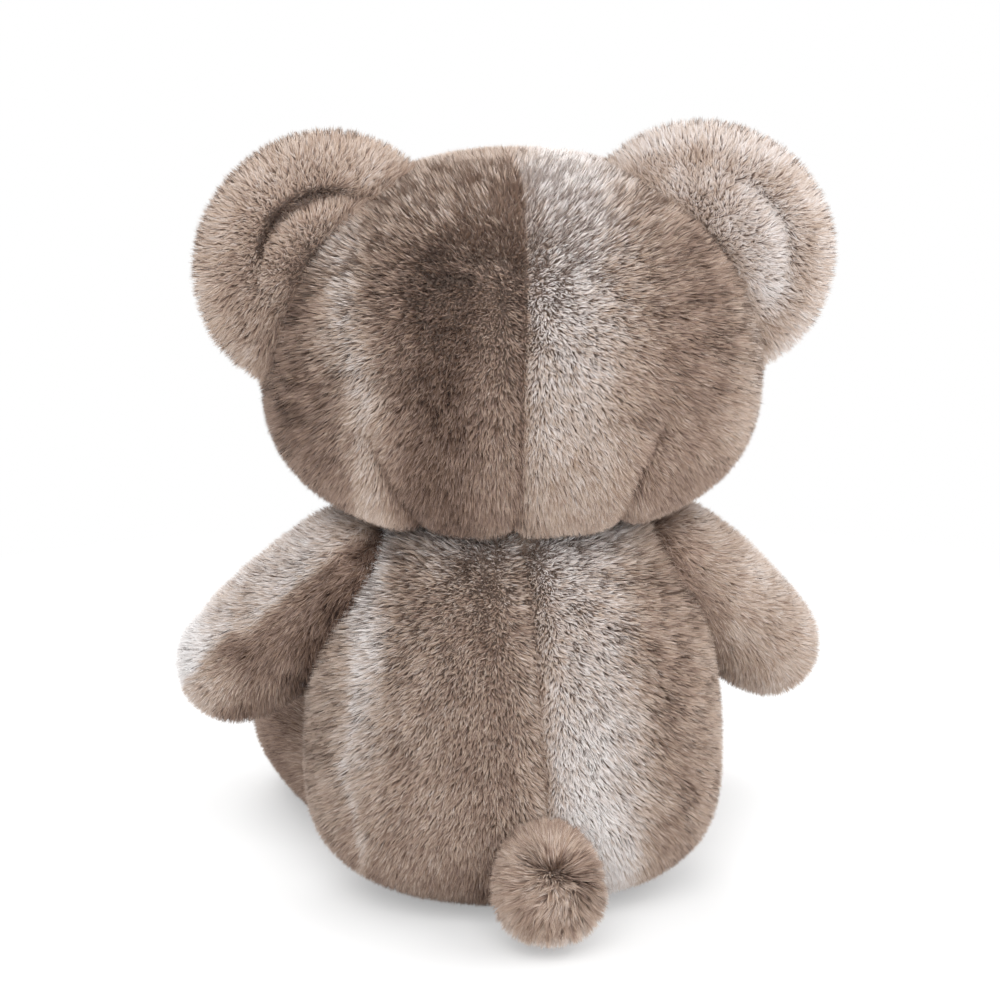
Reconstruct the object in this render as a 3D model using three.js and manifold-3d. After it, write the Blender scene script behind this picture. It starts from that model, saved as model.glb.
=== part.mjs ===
// A seated plush teddy bear. Millimetres, +Z up. The bear faces -Y and its left is +X.
// The origin is the middle of its flat seat.
import * as THREE from 'three';
import { mergeVertices } from 'three/addons/utils/BufferGeometryUtils.js';
import Module from 'manifold-3d';

const wasm = await Module();
wasm.setup();

// Cloth, gaps and the press of the seat
const PLUSH_THICKNESS = 8; // backing cloth and pile together
const SHORT_PILE_THICKNESS = 2.4;
const GAP = 0.3;
const JOINT_GAP = 0.8; // between a round limb root and the socket that it turns in
const SWING_MARGIN = 0.8; // round the torso and the head, where a limb, an ear or the other swings by
const FLOOR_PRESS = 0.5; // how deep the floor flattens what rests on it

// Faces round and along the forms
const BODY_AROUND = 20;
const BODY_ALONG = 12;
const INSIDE_AROUND = 12; // for the hollows of torso and head, and the fillings in them
const INSIDE_ALONG = 8;
const LIMB_AROUND = 16;
const LIMB_ALONG = 4;
const LIMB_END_RINGS = 4;
const LIMB_INSIDE_END_RINGS = 2;
const NECK_AROUND = 24;
const LIMB_BALL_AROUND = 12;
const ROOM_BALL_AROUND = 10;
const MUZZLE_AROUND = 16;
const MUZZLE_ALONG = 8;
const EAR_AROUND = 20;
const LINING_AROUND = 16;
const BUTTON_AROUND = 16;
const BUTTON_DOME_STEPS = 4;
const BAR_AROUND = 8;
const PAD_AROUND = 24;

// Torso
const TORSO_WIDTH = 146;
const TORSO_DEPTH = 120;
const BELLY_HEIGHT = 46; // where the torso is widest
const TORSO_ABOVE_BELLY = 104;
const TORSO_SQUARE_BELOW = 3; // 2 is a round profile, more is squarer
const TORSO_SQUARE_ABOVE = 2.35;
const TORSO_SWING_COPIES = 5; // steps of each limb's range, where the body's room is cut out of it

// Head
const HEAD_WIDTH = 172;
const HEAD_DEPTH = 138;
const CHEEK_HEIGHT = 183.5; // where the head is widest
const HEAD_ABOVE_CHEEKS = 76;
const HEAD_BELOW_CHEEKS = 54.5;
const HEAD_SQUARE_ABOVE = 2.2;
const HEAD_SQUARE_BELOW = 2.6;
const HEAD_FORWARD = 3;
const SECTION_SQUARE = 2.15; // of the level sections of torso and head

// Neck
const NECK_RADIUS = 33;
const NECK_NOD_DEG = 8;
const NECK_TURN_DEG = 15;

// Ears
const EAR_RADIUS = 46.5;
const EAR_THICKNESS = 19;
const EAR_DISH_DEPTH = 5; // of the hollow at its front
const EAR_CREASE_DEPTH = 3.5; // of the crease round its back
const EAR_OUT = 64; // the middle of the ear, from the middle of the head
const EAR_BACK = 4;
const EAR_RISE = 40.5; // above the cheeks' level
const EAR_YAW_DEG = 12; // how far each ear faces away from the middle
const EAR_CUP = 5; // how far its edge bends forward
const EAR_FLEX_DEG = 12;
const EAR_LINING_SHARE = 0.6; // of the ear's radius
const HEAD_SWING_COPIES = 2; // steps of an ear's range, where the head's room is cut out of it

// The ear's profile from its back to its front, as shares of its radius
const EAR_BACK_FLAT = 0.3;
const EAR_CREASE = 0.52;
const EAR_RIM = 0.86;
const EAR_DISH_EDGE = 0.66;

// Arms
const ARM_ROOT_RADIUS = 21;
const ARM_MIDDLE_RADIUS = 21.5;
const ARM_PAW_RADIUS = 18.5;
const ARM_LENGTH = 83; // from the shoulder's centre to the tip of the paw
const ARM_FLATNESS = 0.9;
const SHOULDER_INSET = 5; // how far the shoulder's centre lies inside the torso's side
const SHOULDER_HEIGHT = 116;
const ARM_DROP_DEG = 40; // below level
const ARM_FORWARD_DEG = 34; // in front of straight out
const ARM_SWING_DEG = [-15, 35]; // back and forward
const OPENING_SHARE = 0.4; // of a limb's root, where cover and torso open into each other
const ROOT_NECK_SHARE = 0.85; // of a limb's root, how far its filling's neck reaches out

// Legs
const LEG_ROOT_RADIUS = 19;
const LEG_HALF_WIDTH = 25;
const LEG_HALF_HEIGHT = 25.5;
const FOOT_HALF_WIDTH = 24;
const FOOT_HALF_HEIGHT = 31;
const LEG_LENGTH = 90; // from the hip's centre to the sole
const LEG_SPLAY_DEG = 12;
const HIP_OUT = 42;
const HIP_INSET = 5; // how far the hip's centre lies inside the torso's front
const LEG_SWING_DEG = [-10, 25]; // down and up
const SOLE_ROUNDING = 12;
const SOLE_CUT = 3.5; // how far the flat sole lies behind the foot's full round end
const FOOT_PAD_MARGIN = 5.5; // all round, from the foot's full section

// Tail
const TAIL_RADIUS = 20;
const TAIL_ROOT_RADIUS = 15;
const TAIL_LENGTH = 38; // from the root's centre to the tip
const TAIL_ROOT_HEIGHT = 29;
const TAIL_ROOT_INSET = 3;
const TAIL_SWING_DEG = [-12, 25]; // down and up
const TAIL_MIDDLE_SHARE = 0.92; // of its radius
const TAIL_ROUND_SHARE = 0.9; // of its radius, the length of its round end

// Muzzle, nose, eyes and mouth
const MUZZLE_WIDTH = 62;
const MUZZLE_HEIGHT = 46;
const MUZZLE_REACH = 24; // in front of the face
const MUZZLE_THICKNESS = 5; // backing cloth and shorter pile together
const MUZZLE_DROP = 15; // below the cheeks' level
const MUZZLE_SQUARE = 2.3;
const NOSE_WIDTH = 22;
const NOSE_HEIGHT = 15;
const NOSE_THICKNESS = 7;
const NOSE_RISE = 9; // above the muzzle's middle
const EYE_RADIUS = 6.5;
const EYE_DOME = 5;
const BUTTON_RIM = 1.6; // straight edge of the eyes and the nose
const EYE_SPACING = 66;
const EYE_RISE = 16; // above the cheeks' level
const POST_RADIUS = 1.8;
const POST_PAST_WASHER = 3;
const WASHER_RADIUS = 8;
const WASHER_THICKNESS = 1.5;
const SUNK_IN_PILE = 3; // how deep the eyes and the nose sit in the pile
const THREAD_RADIUS = 0.9;
const MOUTH_DROP = 9; // from the nose down to where the smile starts
const MOUTH_HALF_WIDTH = 9;
const MOUTH_SAG = 2.5;
const THREAD_STEPS = 5;

// Pellet pouch in the seat
const POUCH_WIDTH = 76;
const POUCH_DEPTH = 62;
const POUCH_HEIGHT = 16;
const POUCH_SQUARE = 2.4;

const UP = new THREE.Vector3(0, 0, 1);
const LEFT = new THREE.Vector3(1, 0, 0);
const FRONT = new THREE.Vector3(0, -1, 0);
const BACK = new THREE.Vector3(0, 1, 0);
const ORIGIN = new THREE.Vector3();
const NEARBY = 4; // how far apart two points are that give the slope between them
const FAR = 500; // past everything
const SAME_PLACE = 1e-4; // two points closer than this are one
const radians = THREE.MathUtils.degToRad;

// Solids and booleans

// The geometry with one vertex at each place, and without the flat triangles that a lathe leaves on its axis
function merged(geometry) {
  const bare = geometry.clone();
  bare.deleteAttribute('normal');
  bare.deleteAttribute('uv');
  const whole = mergeVertices(bare, SAME_PLACE);
  const faces = [];
  for (let i = 0; i < whole.index.count; i += 3) {
    const [a, b, c] = [0, 1, 2].map((k) => whole.index.getX(i + k));
    if (a !== b && b !== c && c !== a) faces.push(a, b, c);
  }
  whole.setIndex(faces);
  return whole;
}

function solidOf(geometry) {
  const whole = merged(geometry);
  return new wasm.Manifold(
    new wasm.Mesh({
      numProp: 3,
      vertProperties: new Float32Array(whole.attributes.position.array),
      triVerts: new Uint32Array(whole.index.array),
    }),
  );
}

function geometryOf(solid) {
  const mesh = solid.getMesh();
  const geometry = new THREE.BufferGeometry();
  geometry.setAttribute('position', new THREE.BufferAttribute(mesh.vertProperties, 3));
  geometry.setIndex(new THREE.BufferAttribute(mesh.triVerts, 1));
  geometry.computeVertexNormals();
  return geometry;
}

function cut(solid, ...cutters) {
  return cutters.reduce((rest, cutter) => rest.subtract(cutter), solid);
}

function joined(...solids) {
  return solids.reduce((whole, solid) => whole.add(solid));
}

function moved(solid, matrix) {
  return solidOf(geometryOf(solid).applyMatrix4(matrix));
}

// The other side's copy of a solid, with its triangles turned to face out again
function mirrored(solid) {
  const geometry = geometryOf(solid).scale(-1, 1, 1);
  const corners = geometry.index.array;
  for (let i = 0; i < corners.length; i += 3) {
    [corners[i + 1], corners[i + 2]] = [corners[i + 2], corners[i + 1]];
  }
  return solidOf(geometry);
}

// The form with every point moved along its normal: outward, or inward where the distance is negative
function offset(form, distance) {
  const shifted = merged(form);
  shifted.computeVertexNormals();
  const place = shifted.attributes.position;
  const normal = shifted.attributes.normal;
  const point = new THREE.Vector3();
  const outward = new THREE.Vector3();
  for (let i = 0; i < place.count; i += 1) {
    point.fromBufferAttribute(place, i);
    outward.fromBufferAttribute(normal, i);
    point.addScaledVector(outward, distance);
    place.setXYZ(i, point.x, point.y, point.z);
  }
  return shifted;
}

// The form with every point changed by a function of its place
function warped(form, change) {
  const bent = form.clone();
  const place = bent.attributes.position;
  const point = new THREE.Vector3();
  for (let i = 0; i < place.count; i += 1) {
    change(point.fromBufferAttribute(place, i));
    place.setXYZ(i, point.x, point.y, point.z);
  }
  return bent;
}

// All the room that a solid takes, as a piece that swings beside it through a range meets it
function sweptPast(solid, pivot, axis, [lowest, highest], steps) {
  const copies = [];
  for (let i = 0; i <= steps; i += 1) {
    const angle = -radians(THREE.MathUtils.lerp(lowest, highest, i / steps));
    const turn = new THREE.Matrix4()
      .makeTranslation(pivot)
      .multiply(new THREE.Matrix4().makeRotationAxis(axis, angle))
      .multiply(new THREE.Matrix4().makeTranslation(pivot.clone().negate()));
    copies.push(moved(solid, turn));
  }
  return joined(...copies);
}

// A ball with its poles on the bear's left and right
function ball(radius, centre, around) {
  const sphere = new THREE.SphereGeometry(radius, around, around / 2);
  return solidOf(sphere.rotateZ(Math.PI / 2).translate(centre.x, centre.y, centre.z));
}

// Room for a ball, with few faces and none of them inside the radius
function ballRoom(radius, centre) {
  return ball(radius / Math.cos(Math.PI / ROOM_BALL_AROUND) ** 2, centre, ROOM_BALL_AROUND);
}

// A round or oval bar along local z, between two heights
function bar(radius, low, high, sides, squash = 1) {
  const cylinder = new THREE.CylinderGeometry(radius, radius, high - low, sides);
  return cylinder.rotateX(Math.PI / 2).translate(0, 0, (low + high) / 2).scale(1, squash, 1);
}

// Local z turned towards a direction, at a place
function frameAt(place, direction, upward = UP) {
  return new THREE.Matrix4().lookAt(direction, ORIGIN, upward).setPosition(place);
}

function placed(geometry, frame) {
  return solidOf(geometry.applyMatrix4(frame));
}

// Stuffed forms

// Rings of points along a spine, closed to a point at both ends.
// A ring has its centre, two half axes and a squareness, where 2 is an ellipse.
function ringForm(start, rings, end, around) {
  const points = [start];
  for (const { centre, across, through, square } of rings) {
    for (let j = 0; j < around; j += 1) {
      const angle = (2 * Math.PI * j) / around;
      const side = Math.sign(Math.cos(angle)) * Math.abs(Math.cos(angle)) ** (2 / square);
      const rise = Math.sign(Math.sin(angle)) * Math.abs(Math.sin(angle)) ** (2 / square);
      points.push(centre.clone().addScaledVector(across, side).addScaledVector(through, rise));
    }
  }
  points.push(end);
  const last = points.length - 1;
  const faces = [];
  for (let j = 0; j < around; j += 1) {
    const next = (j + 1) % around;
    faces.push(0, 1 + next, 1 + j);
    for (let i = 0; i < rings.length - 1; i += 1) {
      const low = 1 + i * around;
      const high = low + around;
      faces.push(low + j, low + next, high + next, low + j, high + next, high + j);
    }
    faces.push(last, last - around + j, last - around + next);
  }
  const geometry = new THREE.BufferGeometry().setFromPoints(points);
  geometry.setIndex(faces);
  return geometry;
}

// A stuffed body about local z: widest at one height, rounder or squarer below and above it
function bodyForm({ width, depth, below, above, squareBelow, squareAbove }, place, around, along) {
  const rings = [];
  for (let i = 1; i < along; i += 1) {
    const angle = Math.PI * (i / along - 0.5);
    const under = angle < 0;
    const power = 2 / (under ? squareBelow : squareAbove);
    const height = Math.abs(Math.sin(angle)) ** power * (under ? -below : above);
    const spread = Math.cos(angle) ** power;
    rings.push({
      centre: new THREE.Vector3(0, 0, height),
      across: new THREE.Vector3((width / 2) * spread, 0, 0),
      through: new THREE.Vector3(0, (depth / 2) * spread, 0),
      square: SECTION_SQUARE,
    });
  }
  const form = ringForm(new THREE.Vector3(0, 0, -below), rings, new THREE.Vector3(0, 0, above), around);
  return form.applyMatrix4(place);
}

// A limb along a straight spine from its root. Its section [half width, half height] changes smoothly
// from root to middle to end, and its end is rounded. It may lie on the floor.
function limbForm(shape, around, along, endRings) {
  const { root, direction, side, length, sections, rounding, endSquare, onFloor } = shape;
  const through = new THREE.Vector3().crossVectors(direction, side);
  const roundFrom = length - rounding;
  const ringAt = (distance, shrink) => {
    const share = Math.min(distance / roundFrom, 1);
    const [halfWidth, halfHeight] = [0, 1].map((k) => {
      const even = THREE.MathUtils.lerp(sections.root[k], sections.end[k], share);
      const bulge = sections.middle[k] - (sections.root[k] + sections.end[k]) / 2;
      return even + bulge * Math.sin(Math.PI * share);
    });
    const centre = root.clone().addScaledVector(direction, distance);
    if (onFloor) centre.z = halfHeight - FLOOR_PRESS;
    return {
      centre,
      across: side.clone().multiplyScalar(halfWidth * shrink),
      through: through.clone().multiplyScalar(halfHeight * shrink),
      square: 2,
    };
  };
  const rings = [];
  for (let i = 0; i < along; i += 1) rings.push(ringAt((roundFrom * i) / along, 1));
  const power = 2 / endSquare;
  for (let i = 0; i < endRings; i += 1) {
    const angle = (Math.PI / 2) * (i / endRings);
    rings.push(ringAt(roundFrom + rounding * Math.sin(angle) ** power, Math.cos(angle) ** power));
  }
  return ringForm(rings[0].centre.clone(), rings, ringAt(length, 1).centre, around);
}

function hitsAlong(form, from, towards) {
  const target = new THREE.Mesh(form, new THREE.MeshBasicMaterial({ side: THREE.DoubleSide }));
  return new THREE.Raycaster(from, towards).intersectObject(target);
}

// Where a line from a point inside a form leaves it
function surfacePoint(form, from, towards) {
  return hitsAlong(form, from, towards)[0].point;
}

// The place and the outward normal of a form's front, seen straight from in front of the bear
function frontSpot(form, x, z) {
  const seen = (dx, dz) => hitsAlong(form, new THREE.Vector3(x + dx, -FAR, z + dz), BACK)[0].point;
  const across = seen(NEARBY, 0).sub(seen(-NEARBY, 0));
  const upward = seen(0, NEARBY).sub(seen(0, -NEARBY));
  return { point: seen(0, 0), normal: across.cross(upward).normalize() };
}

// Shared forms and places

const torsoPlace = new THREE.Matrix4().makeTranslation(0, 0, BELLY_HEIGHT);
const headPlace = new THREE.Matrix4().makeTranslation(0, -HEAD_FORWARD, CHEEK_HEIGHT);
const torsoShape = {
  width: TORSO_WIDTH,
  depth: TORSO_DEPTH,
  below: BELLY_HEIGHT + FLOOR_PRESS,
  above: TORSO_ABOVE_BELLY,
  squareBelow: TORSO_SQUARE_BELOW,
  squareAbove: TORSO_SQUARE_ABOVE,
};
const headShape = {
  width: HEAD_WIDTH,
  depth: HEAD_DEPTH,
  below: HEAD_BELOW_CHEEKS,
  above: HEAD_ABOVE_CHEEKS,
  squareBelow: HEAD_SQUARE_BELOW,
  squareAbove: HEAD_SQUARE_ABOVE,
};
const torsoMaker = (around, along) => bodyForm(torsoShape, torsoPlace, around, along);
const headMaker = (around, along) => bodyForm(headShape, headPlace, around, along);
const torsoForm = torsoMaker(BODY_AROUND, BODY_ALONG);
const headForm = headMaker(BODY_AROUND, BODY_ALONG);
const torsoPassing = solidOf(offset(torsoForm, SWING_MARGIN));
const headPassing = solidOf(offset(headForm, SWING_MARGIN));

const floorBlock = solidOf(new THREE.BoxGeometry(2 * FAR, 2 * FAR, FAR).translate(0, 0, -FAR / 2));

const neckPivot = new THREE.Vector3(0, 0, CHEEK_HEIGHT - HEAD_BELOW_CHEEKS);
const neckSocket = ball(NECK_RADIUS + JOINT_GAP, neckPivot, NECK_AROUND);
const neckRoom = ballRoom(NECK_RADIUS + JOINT_GAP, neckPivot);

const shoulderInside = new THREE.Vector3(0, 0, SHOULDER_HEIGHT);
const shoulder = surfacePoint(torsoForm, shoulderInside, LEFT).addScaledVector(LEFT, -SHOULDER_INSET);

const hipInside = new THREE.Vector3(HIP_OUT, 0, LEG_HALF_HEIGHT);
const hip = surfacePoint(torsoForm, hipInside, FRONT).addScaledVector(FRONT, -HIP_INSET);

const tailInside = new THREE.Vector3(0, 0, TAIL_ROOT_HEIGHT);
const tailRoot = surfacePoint(torsoForm, tailInside, BACK).addScaledVector(BACK, -TAIL_ROOT_INSET);

// How much lower than at rest a point of the head can come as it turns and nods
const nodSlope = Math.tan(radians(NECK_NOD_DEG));
const turnShare = Math.sin(radians(NECK_TURN_DEG));
const dipOf = ({ x, y }) => (Math.abs(y) + Math.abs(x) * turnShare) * nodSlope;
const headSweep = solidOf(
  warped(offset(headForm, SWING_MARGIN), (point) => {
    point.z -= dipOf(point);
  }),
);
const torsoTop = neckPivot.z - dipOf({ x: 0, y: NECK_RADIUS });

// Colours of the pieces

const BROWN_PLUSH = 0x9a8678;
const PALE_PLUSH = 0xc9bdb5;
const SHORT_PILE = 0xcbbdb0;
const FIBRE = 0xf2f0ea;
const CANVAS = 0xd8cfc0;
const DARK_PLASTIC = 0x1b1614;
const WHITE_PLASTIC = 0xe6e4de;
const BROWN_THREAD = 0x3a2a22;

const bear = new THREE.Group();

function addPiece(name, solid, color, roughness) {
  const material = new THREE.MeshStandardMaterial({ color, roughness, metalness: 0 });
  const mesh = new THREE.Mesh(geometryOf(solid), material);
  mesh.name = name;
  bear.add(mesh);
}

// A left piece and its mirror image on the right
function addPair(name, solid, color, roughness) {
  addPiece(`${name}_left`, solid, color, roughness);
  addPiece(`${name}_right`, mirrored(solid), color, roughness);
}

// A cover's hollow and the filling in it, from a form with fewer faces than the cover's outside
function insideOf(form, thickness) {
  return {
    hollow: solidOf(offset(form, -thickness)),
    filling: solidOf(offset(form, -thickness - GAP)),
  };
}

function above(height) {
  return solidOf(new THREE.BoxGeometry(2 * FAR, 2 * FAR, FAR).translate(0, 0, height + FAR / 2));
}

// Torso cover, its filling and the pellet pouch in the seat

function makeTorso() {
  const shoulderSocket = ball(ARM_ROOT_RADIUS + JOINT_GAP, shoulder, LIMB_BALL_AROUND);
  const hipSocket = ball(LEG_ROOT_RADIUS + JOINT_GAP, hip, LIMB_BALL_AROUND);
  const tailSocket = ball(TAIL_ROOT_RADIUS + JOINT_GAP, tailRoot, LIMB_BALL_AROUND);
  const sockets = [neckSocket, shoulderSocket, mirrored(shoulderSocket), hipSocket, mirrored(hipSocket)];
  sockets.push(tailSocket);
  const shoulderRoom = ballRoom(ARM_ROOT_RADIUS + JOINT_GAP, shoulder);
  const hipRoom = ballRoom(LEG_ROOT_RADIUS + JOINT_GAP, hip);
  const tailRoom = ballRoom(TAIL_ROOT_RADIUS + JOINT_GAP, tailRoot);
  const rooms = [neckRoom, shoulderRoom, mirrored(shoulderRoom), hipRoom, mirrored(hipRoom), tailRoom];

  const outside = cut(solidOf(torsoForm), floorBlock, headSweep);
  const inside = insideOf(torsoMaker(INSIDE_AROUND, INSIDE_ALONG), PLUSH_THICKNESS);
  const hollow = cut(inside.hollow, above(torsoTop - PLUSH_THICKNESS));
  addPiece('torso_cover', cut(outside, hollow, ...sockets), BROWN_PLUSH, 0.95);

  const pouchShape = {
    width: POUCH_WIDTH,
    depth: POUCH_DEPTH,
    below: POUCH_HEIGHT / 2,
    above: POUCH_HEIGHT / 2,
    squareBelow: POUCH_SQUARE,
    squareAbove: POUCH_SQUARE,
  };
  const pouchMiddle = PLUSH_THICKNESS - FLOOR_PRESS + GAP + POUCH_HEIGHT / 2;
  const pouchPlace = new THREE.Matrix4().makeTranslation(0, 0, pouchMiddle);
  const pouch = bodyForm(pouchShape, pouchPlace, INSIDE_AROUND, INSIDE_ALONG);
  const pouchSolid = solidOf(pouch).intersect(inside.filling);
  addPiece('pellet_pouch', cut(pouchSolid, ...rooms), CANVAS, 0.9);

  const filling = cut(inside.filling, above(torsoTop - PLUSH_THICKNESS - GAP));
  const pouchRoom = solidOf(offset(pouch, GAP));
  addPiece('torso_filling', cut(filling, pouchRoom, ...rooms), FIBRE, 1);
}

// Neck filling: the stuffed ball that the head turns and nods on

function makeNeck() {
  addPiece('neck_filling', ball(NECK_RADIUS, neckPivot, NECK_AROUND), FIBRE, 1);
}

// An eye or a nose: a moulded dome on a post, which goes through the cloth to a washer that locks it

function postedButton(spot, { radius, dome, squash, clothThickness }) {
  const frame = frameAt(spot.point, spot.normal);
  const rimTop = BUTTON_RIM - SUNK_IN_PILE;
  const profile = [new THREE.Vector2(0, -SUNK_IN_PILE), new THREE.Vector2(radius, -SUNK_IN_PILE)];
  for (let i = 0; i < BUTTON_DOME_STEPS; i += 1) {
    const angle = (Math.PI / 2) * (i / BUTTON_DOME_STEPS);
    profile.push(new THREE.Vector2(radius * Math.cos(angle), rimTop + dome * Math.sin(angle)));
  }
  profile.push(new THREE.Vector2(0, rimTop + dome));
  const button = new THREE.LatheGeometry(profile, BUTTON_AROUND).rotateX(Math.PI / 2).scale(1, squash, 1);
  const washerTop = -clothThickness;
  const washerFoot = washerTop - WASHER_THICKNESS;
  const postEnd = washerFoot - POST_PAST_WASHER;
  const post = placed(bar(POST_RADIUS, postEnd, rimTop, BAR_AROUND), frame);
  const postRoom = placed(bar(POST_RADIUS + GAP, postEnd - GAP, 0, BAR_AROUND), frame);
  const disc = placed(bar(WASHER_RADIUS, washerFoot, washerTop, BUTTON_AROUND), frame);
  const washer = cut(disc, postRoom);
  const washerRoom = placed(bar(WASHER_RADIUS + GAP, postEnd - GAP, washerTop + GAP, BUTTON_AROUND), frame);
  const recess = placed(bar(radius + GAP, -SUNK_IN_PILE - GAP, radius, BUTTON_AROUND, squash), frame);
  return { solid: joined(placed(button, frame), post), washer, rooms: [postRoom, washerRoom, recess] };
}

// Head cover and filling, with the eyes

function makeHead() {
  const eyeSpot = frontSpot(headForm, EYE_SPACING / 2, CHEEK_HEIGHT + EYE_RISE);
  const eyeSizes = { radius: EYE_RADIUS, dome: EYE_DOME, squash: 1, clothThickness: PLUSH_THICKNESS };
  const eye = postedButton(eyeSpot, eyeSizes);
  const eyeRooms = [...eye.rooms, ...eye.rooms.map(mirrored)];
  const { hollow, filling } = insideOf(headMaker(INSIDE_AROUND, INSIDE_ALONG), PLUSH_THICKNESS);
  addPiece('head_cover', cut(solidOf(headForm), hollow, neckSocket, ...eyeRooms), BROWN_PLUSH, 0.95);
  addPiece('head_filling', cut(filling, neckRoom, ...eyeRooms), FIBRE, 1);
  addPair('eye', eye.solid, DARK_PLASTIC, 0.12);
  addPair('eye_washer', eye.washer, WHITE_PLASTIC, 0.5);
}

// Muzzle cover and filling, the nose and the stitched mouth

function makeMuzzle() {
  const middle = CHEEK_HEIGHT - MUZZLE_DROP;
  const face = frontSpot(headForm, 0, middle).point;
  const shape = {
    width: MUZZLE_WIDTH,
    depth: MUZZLE_HEIGHT,
    below: MUZZLE_REACH,
    above: MUZZLE_REACH,
    squareBelow: MUZZLE_SQUARE,
    squareAbove: MUZZLE_SQUARE,
  };
  const maker = (around) => bodyForm(shape, frameAt(face, FRONT), around, MUZZLE_ALONG);
  const form = maker(MUZZLE_AROUND);
  const headRoom = solidOf(offset(headForm, GAP));
  const noseSpot = frontSpot(form, 0, middle + NOSE_RISE);
  const nose = postedButton(noseSpot, {
    radius: NOSE_WIDTH / 2,
    dome: NOSE_THICKNESS - BUTTON_RIM,
    squash: NOSE_HEIGHT / NOSE_WIDTH,
    clothThickness: MUZZLE_THICKNESS,
  });
  const { hollow, filling } = insideOf(maker(MUZZLE_AROUND / 2), MUZZLE_THICKNESS);
  addPiece('muzzle_cover', cut(solidOf(form), hollow, headRoom, ...nose.rooms), PALE_PLUSH, 0.95);
  addPiece('muzzle_filling', cut(filling, headRoom, ...nose.rooms), FIBRE, 1);
  addPiece('nose', nose.solid, DARK_PLASTIC, 0.3);
  addPiece('nose_washer', nose.washer, WHITE_PLASTIC, 0.5);
  addPiece('mouth_stitching', mouthThreads(form, middle + NOSE_RISE - NOSE_HEIGHT / 2), BROWN_THREAD, 0.8);
}

// A thread down from the nose, and one from its end up to each corner of the mouth
function mouthThreads(form, noseFoot) {
  const lifted = (x, z) => {
    const spot = frontSpot(form, x, z);
    return spot.point.addScaledVector(spot.normal, THREAD_RADIUS + GAP);
  };
  const thread = (points) => {
    const section = new THREE.Shape().absarc(0, 0, THREAD_RADIUS, 0, 2 * Math.PI);
    const extrudePath = new THREE.CatmullRomCurve3(points);
    const settings = { steps: THREAD_STEPS, curveSegments: 3, bevelEnabled: false, extrudePath };
    return solidOf(new THREE.ExtrudeGeometry(section, settings));
  };
  const top = noseFoot - THREAD_RADIUS - 2 * GAP;
  const fork = top - MOUTH_DROP;
  const corner = (side) =>
    thread([
      lifted(0, fork),
      lifted((side * MOUTH_HALF_WIDTH) / 2, fork - MOUTH_SAG),
      lifted(side * MOUTH_HALF_WIDTH, fork),
    ]);
  const down = thread([lifted(0, top), lifted(0, (top + fork) / 2), lifted(0, fork)]);
  return joined(down, corner(1), corner(-1));
}

// Ears with their short pile linings. Each bends about the line where it leaves the head.

function makeEars() {
  const centre = new THREE.Vector3(EAR_OUT, EAR_BACK, CHEEK_HEIGHT + EAR_RISE);
  const headMiddle = new THREE.Vector3(0, EAR_BACK, CHEEK_HEIGHT);
  const outward = centre.clone().sub(headMiddle).normalize();
  const hingePlace = surfacePoint(headForm, headMiddle, outward);
  const hingeLine = new THREE.Vector3().crossVectors(outward, FRONT).normalize();
  const facing = FRONT.clone().applyAxisAngle(UP, radians(EAR_YAW_DEG));
  const frame = frameAt(centre, facing);
  const range = [-EAR_FLEX_DEG, EAR_FLEX_DEG];
  const headRoom = sweptPast(headPassing, hingePlace, hingeLine, range, HEAD_SWING_COPIES);

  // A profile from the ear's back to its front, turned about its middle and cupped forward
  const turned = (profile, around) => {
    const lathe = new THREE.LatheGeometry(profile, around).rotateX(Math.PI / 2);
    const cupped = warped(lathe, (point) => {
      const reach = Math.hypot(point.x, point.y) / EAR_RADIUS;
      point.z += EAR_CUP * reach * reach;
    });
    return cupped.applyMatrix4(frame);
  };
  const half = EAR_THICKNESS / 2;
  const dish = half - EAR_DISH_DEPTH;
  const outline = new THREE.SplineCurve([
    new THREE.Vector2(0, -half),
    new THREE.Vector2(EAR_RADIUS * EAR_BACK_FLAT, -half),
    new THREE.Vector2(EAR_RADIUS * EAR_CREASE, EAR_CREASE_DEPTH - half),
    new THREE.Vector2(EAR_RADIUS * EAR_RIM, -half),
    new THREE.Vector2(EAR_RADIUS, 0),
    new THREE.Vector2(EAR_RADIUS * EAR_RIM, half),
    new THREE.Vector2(EAR_RADIUS * EAR_DISH_EDGE, dish),
    new THREE.Vector2(0, dish),
  ]).getPoints(11);
  outline[0].x = 0;
  outline[outline.length - 1].x = 0;

  const liningRadius = EAR_RADIUS * EAR_LINING_SHARE;
  const liningFoot = dish + GAP;
  const liningTop = liningFoot + SHORT_PILE_THICKNESS;
  const liningProfile = [
    new THREE.Vector2(0, liningFoot),
    new THREE.Vector2(liningRadius / 2, liningFoot),
    new THREE.Vector2(liningRadius, liningFoot),
    new THREE.Vector2(liningRadius, liningTop),
    new THREE.Vector2(liningRadius / 2, liningTop),
    new THREE.Vector2(0, liningTop),
  ];
  const lining = turned(liningProfile, LINING_AROUND);
  const liningRoom = solidOf(offset(lining, GAP));
  addPair('ear', cut(solidOf(turned(outline, EAR_AROUND)), liningRoom, headRoom), BROWN_PLUSH, 0.95);
  addPair('ear_lining', cut(solidOf(lining), headRoom), SHORT_PILE, 0.95);
}

// A limb has a cover, open where it is sewn to the torso, and a filling. Its root is a ball in the
// torso's socket, and the rest is cut back from the torso wherever it swings.

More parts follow.
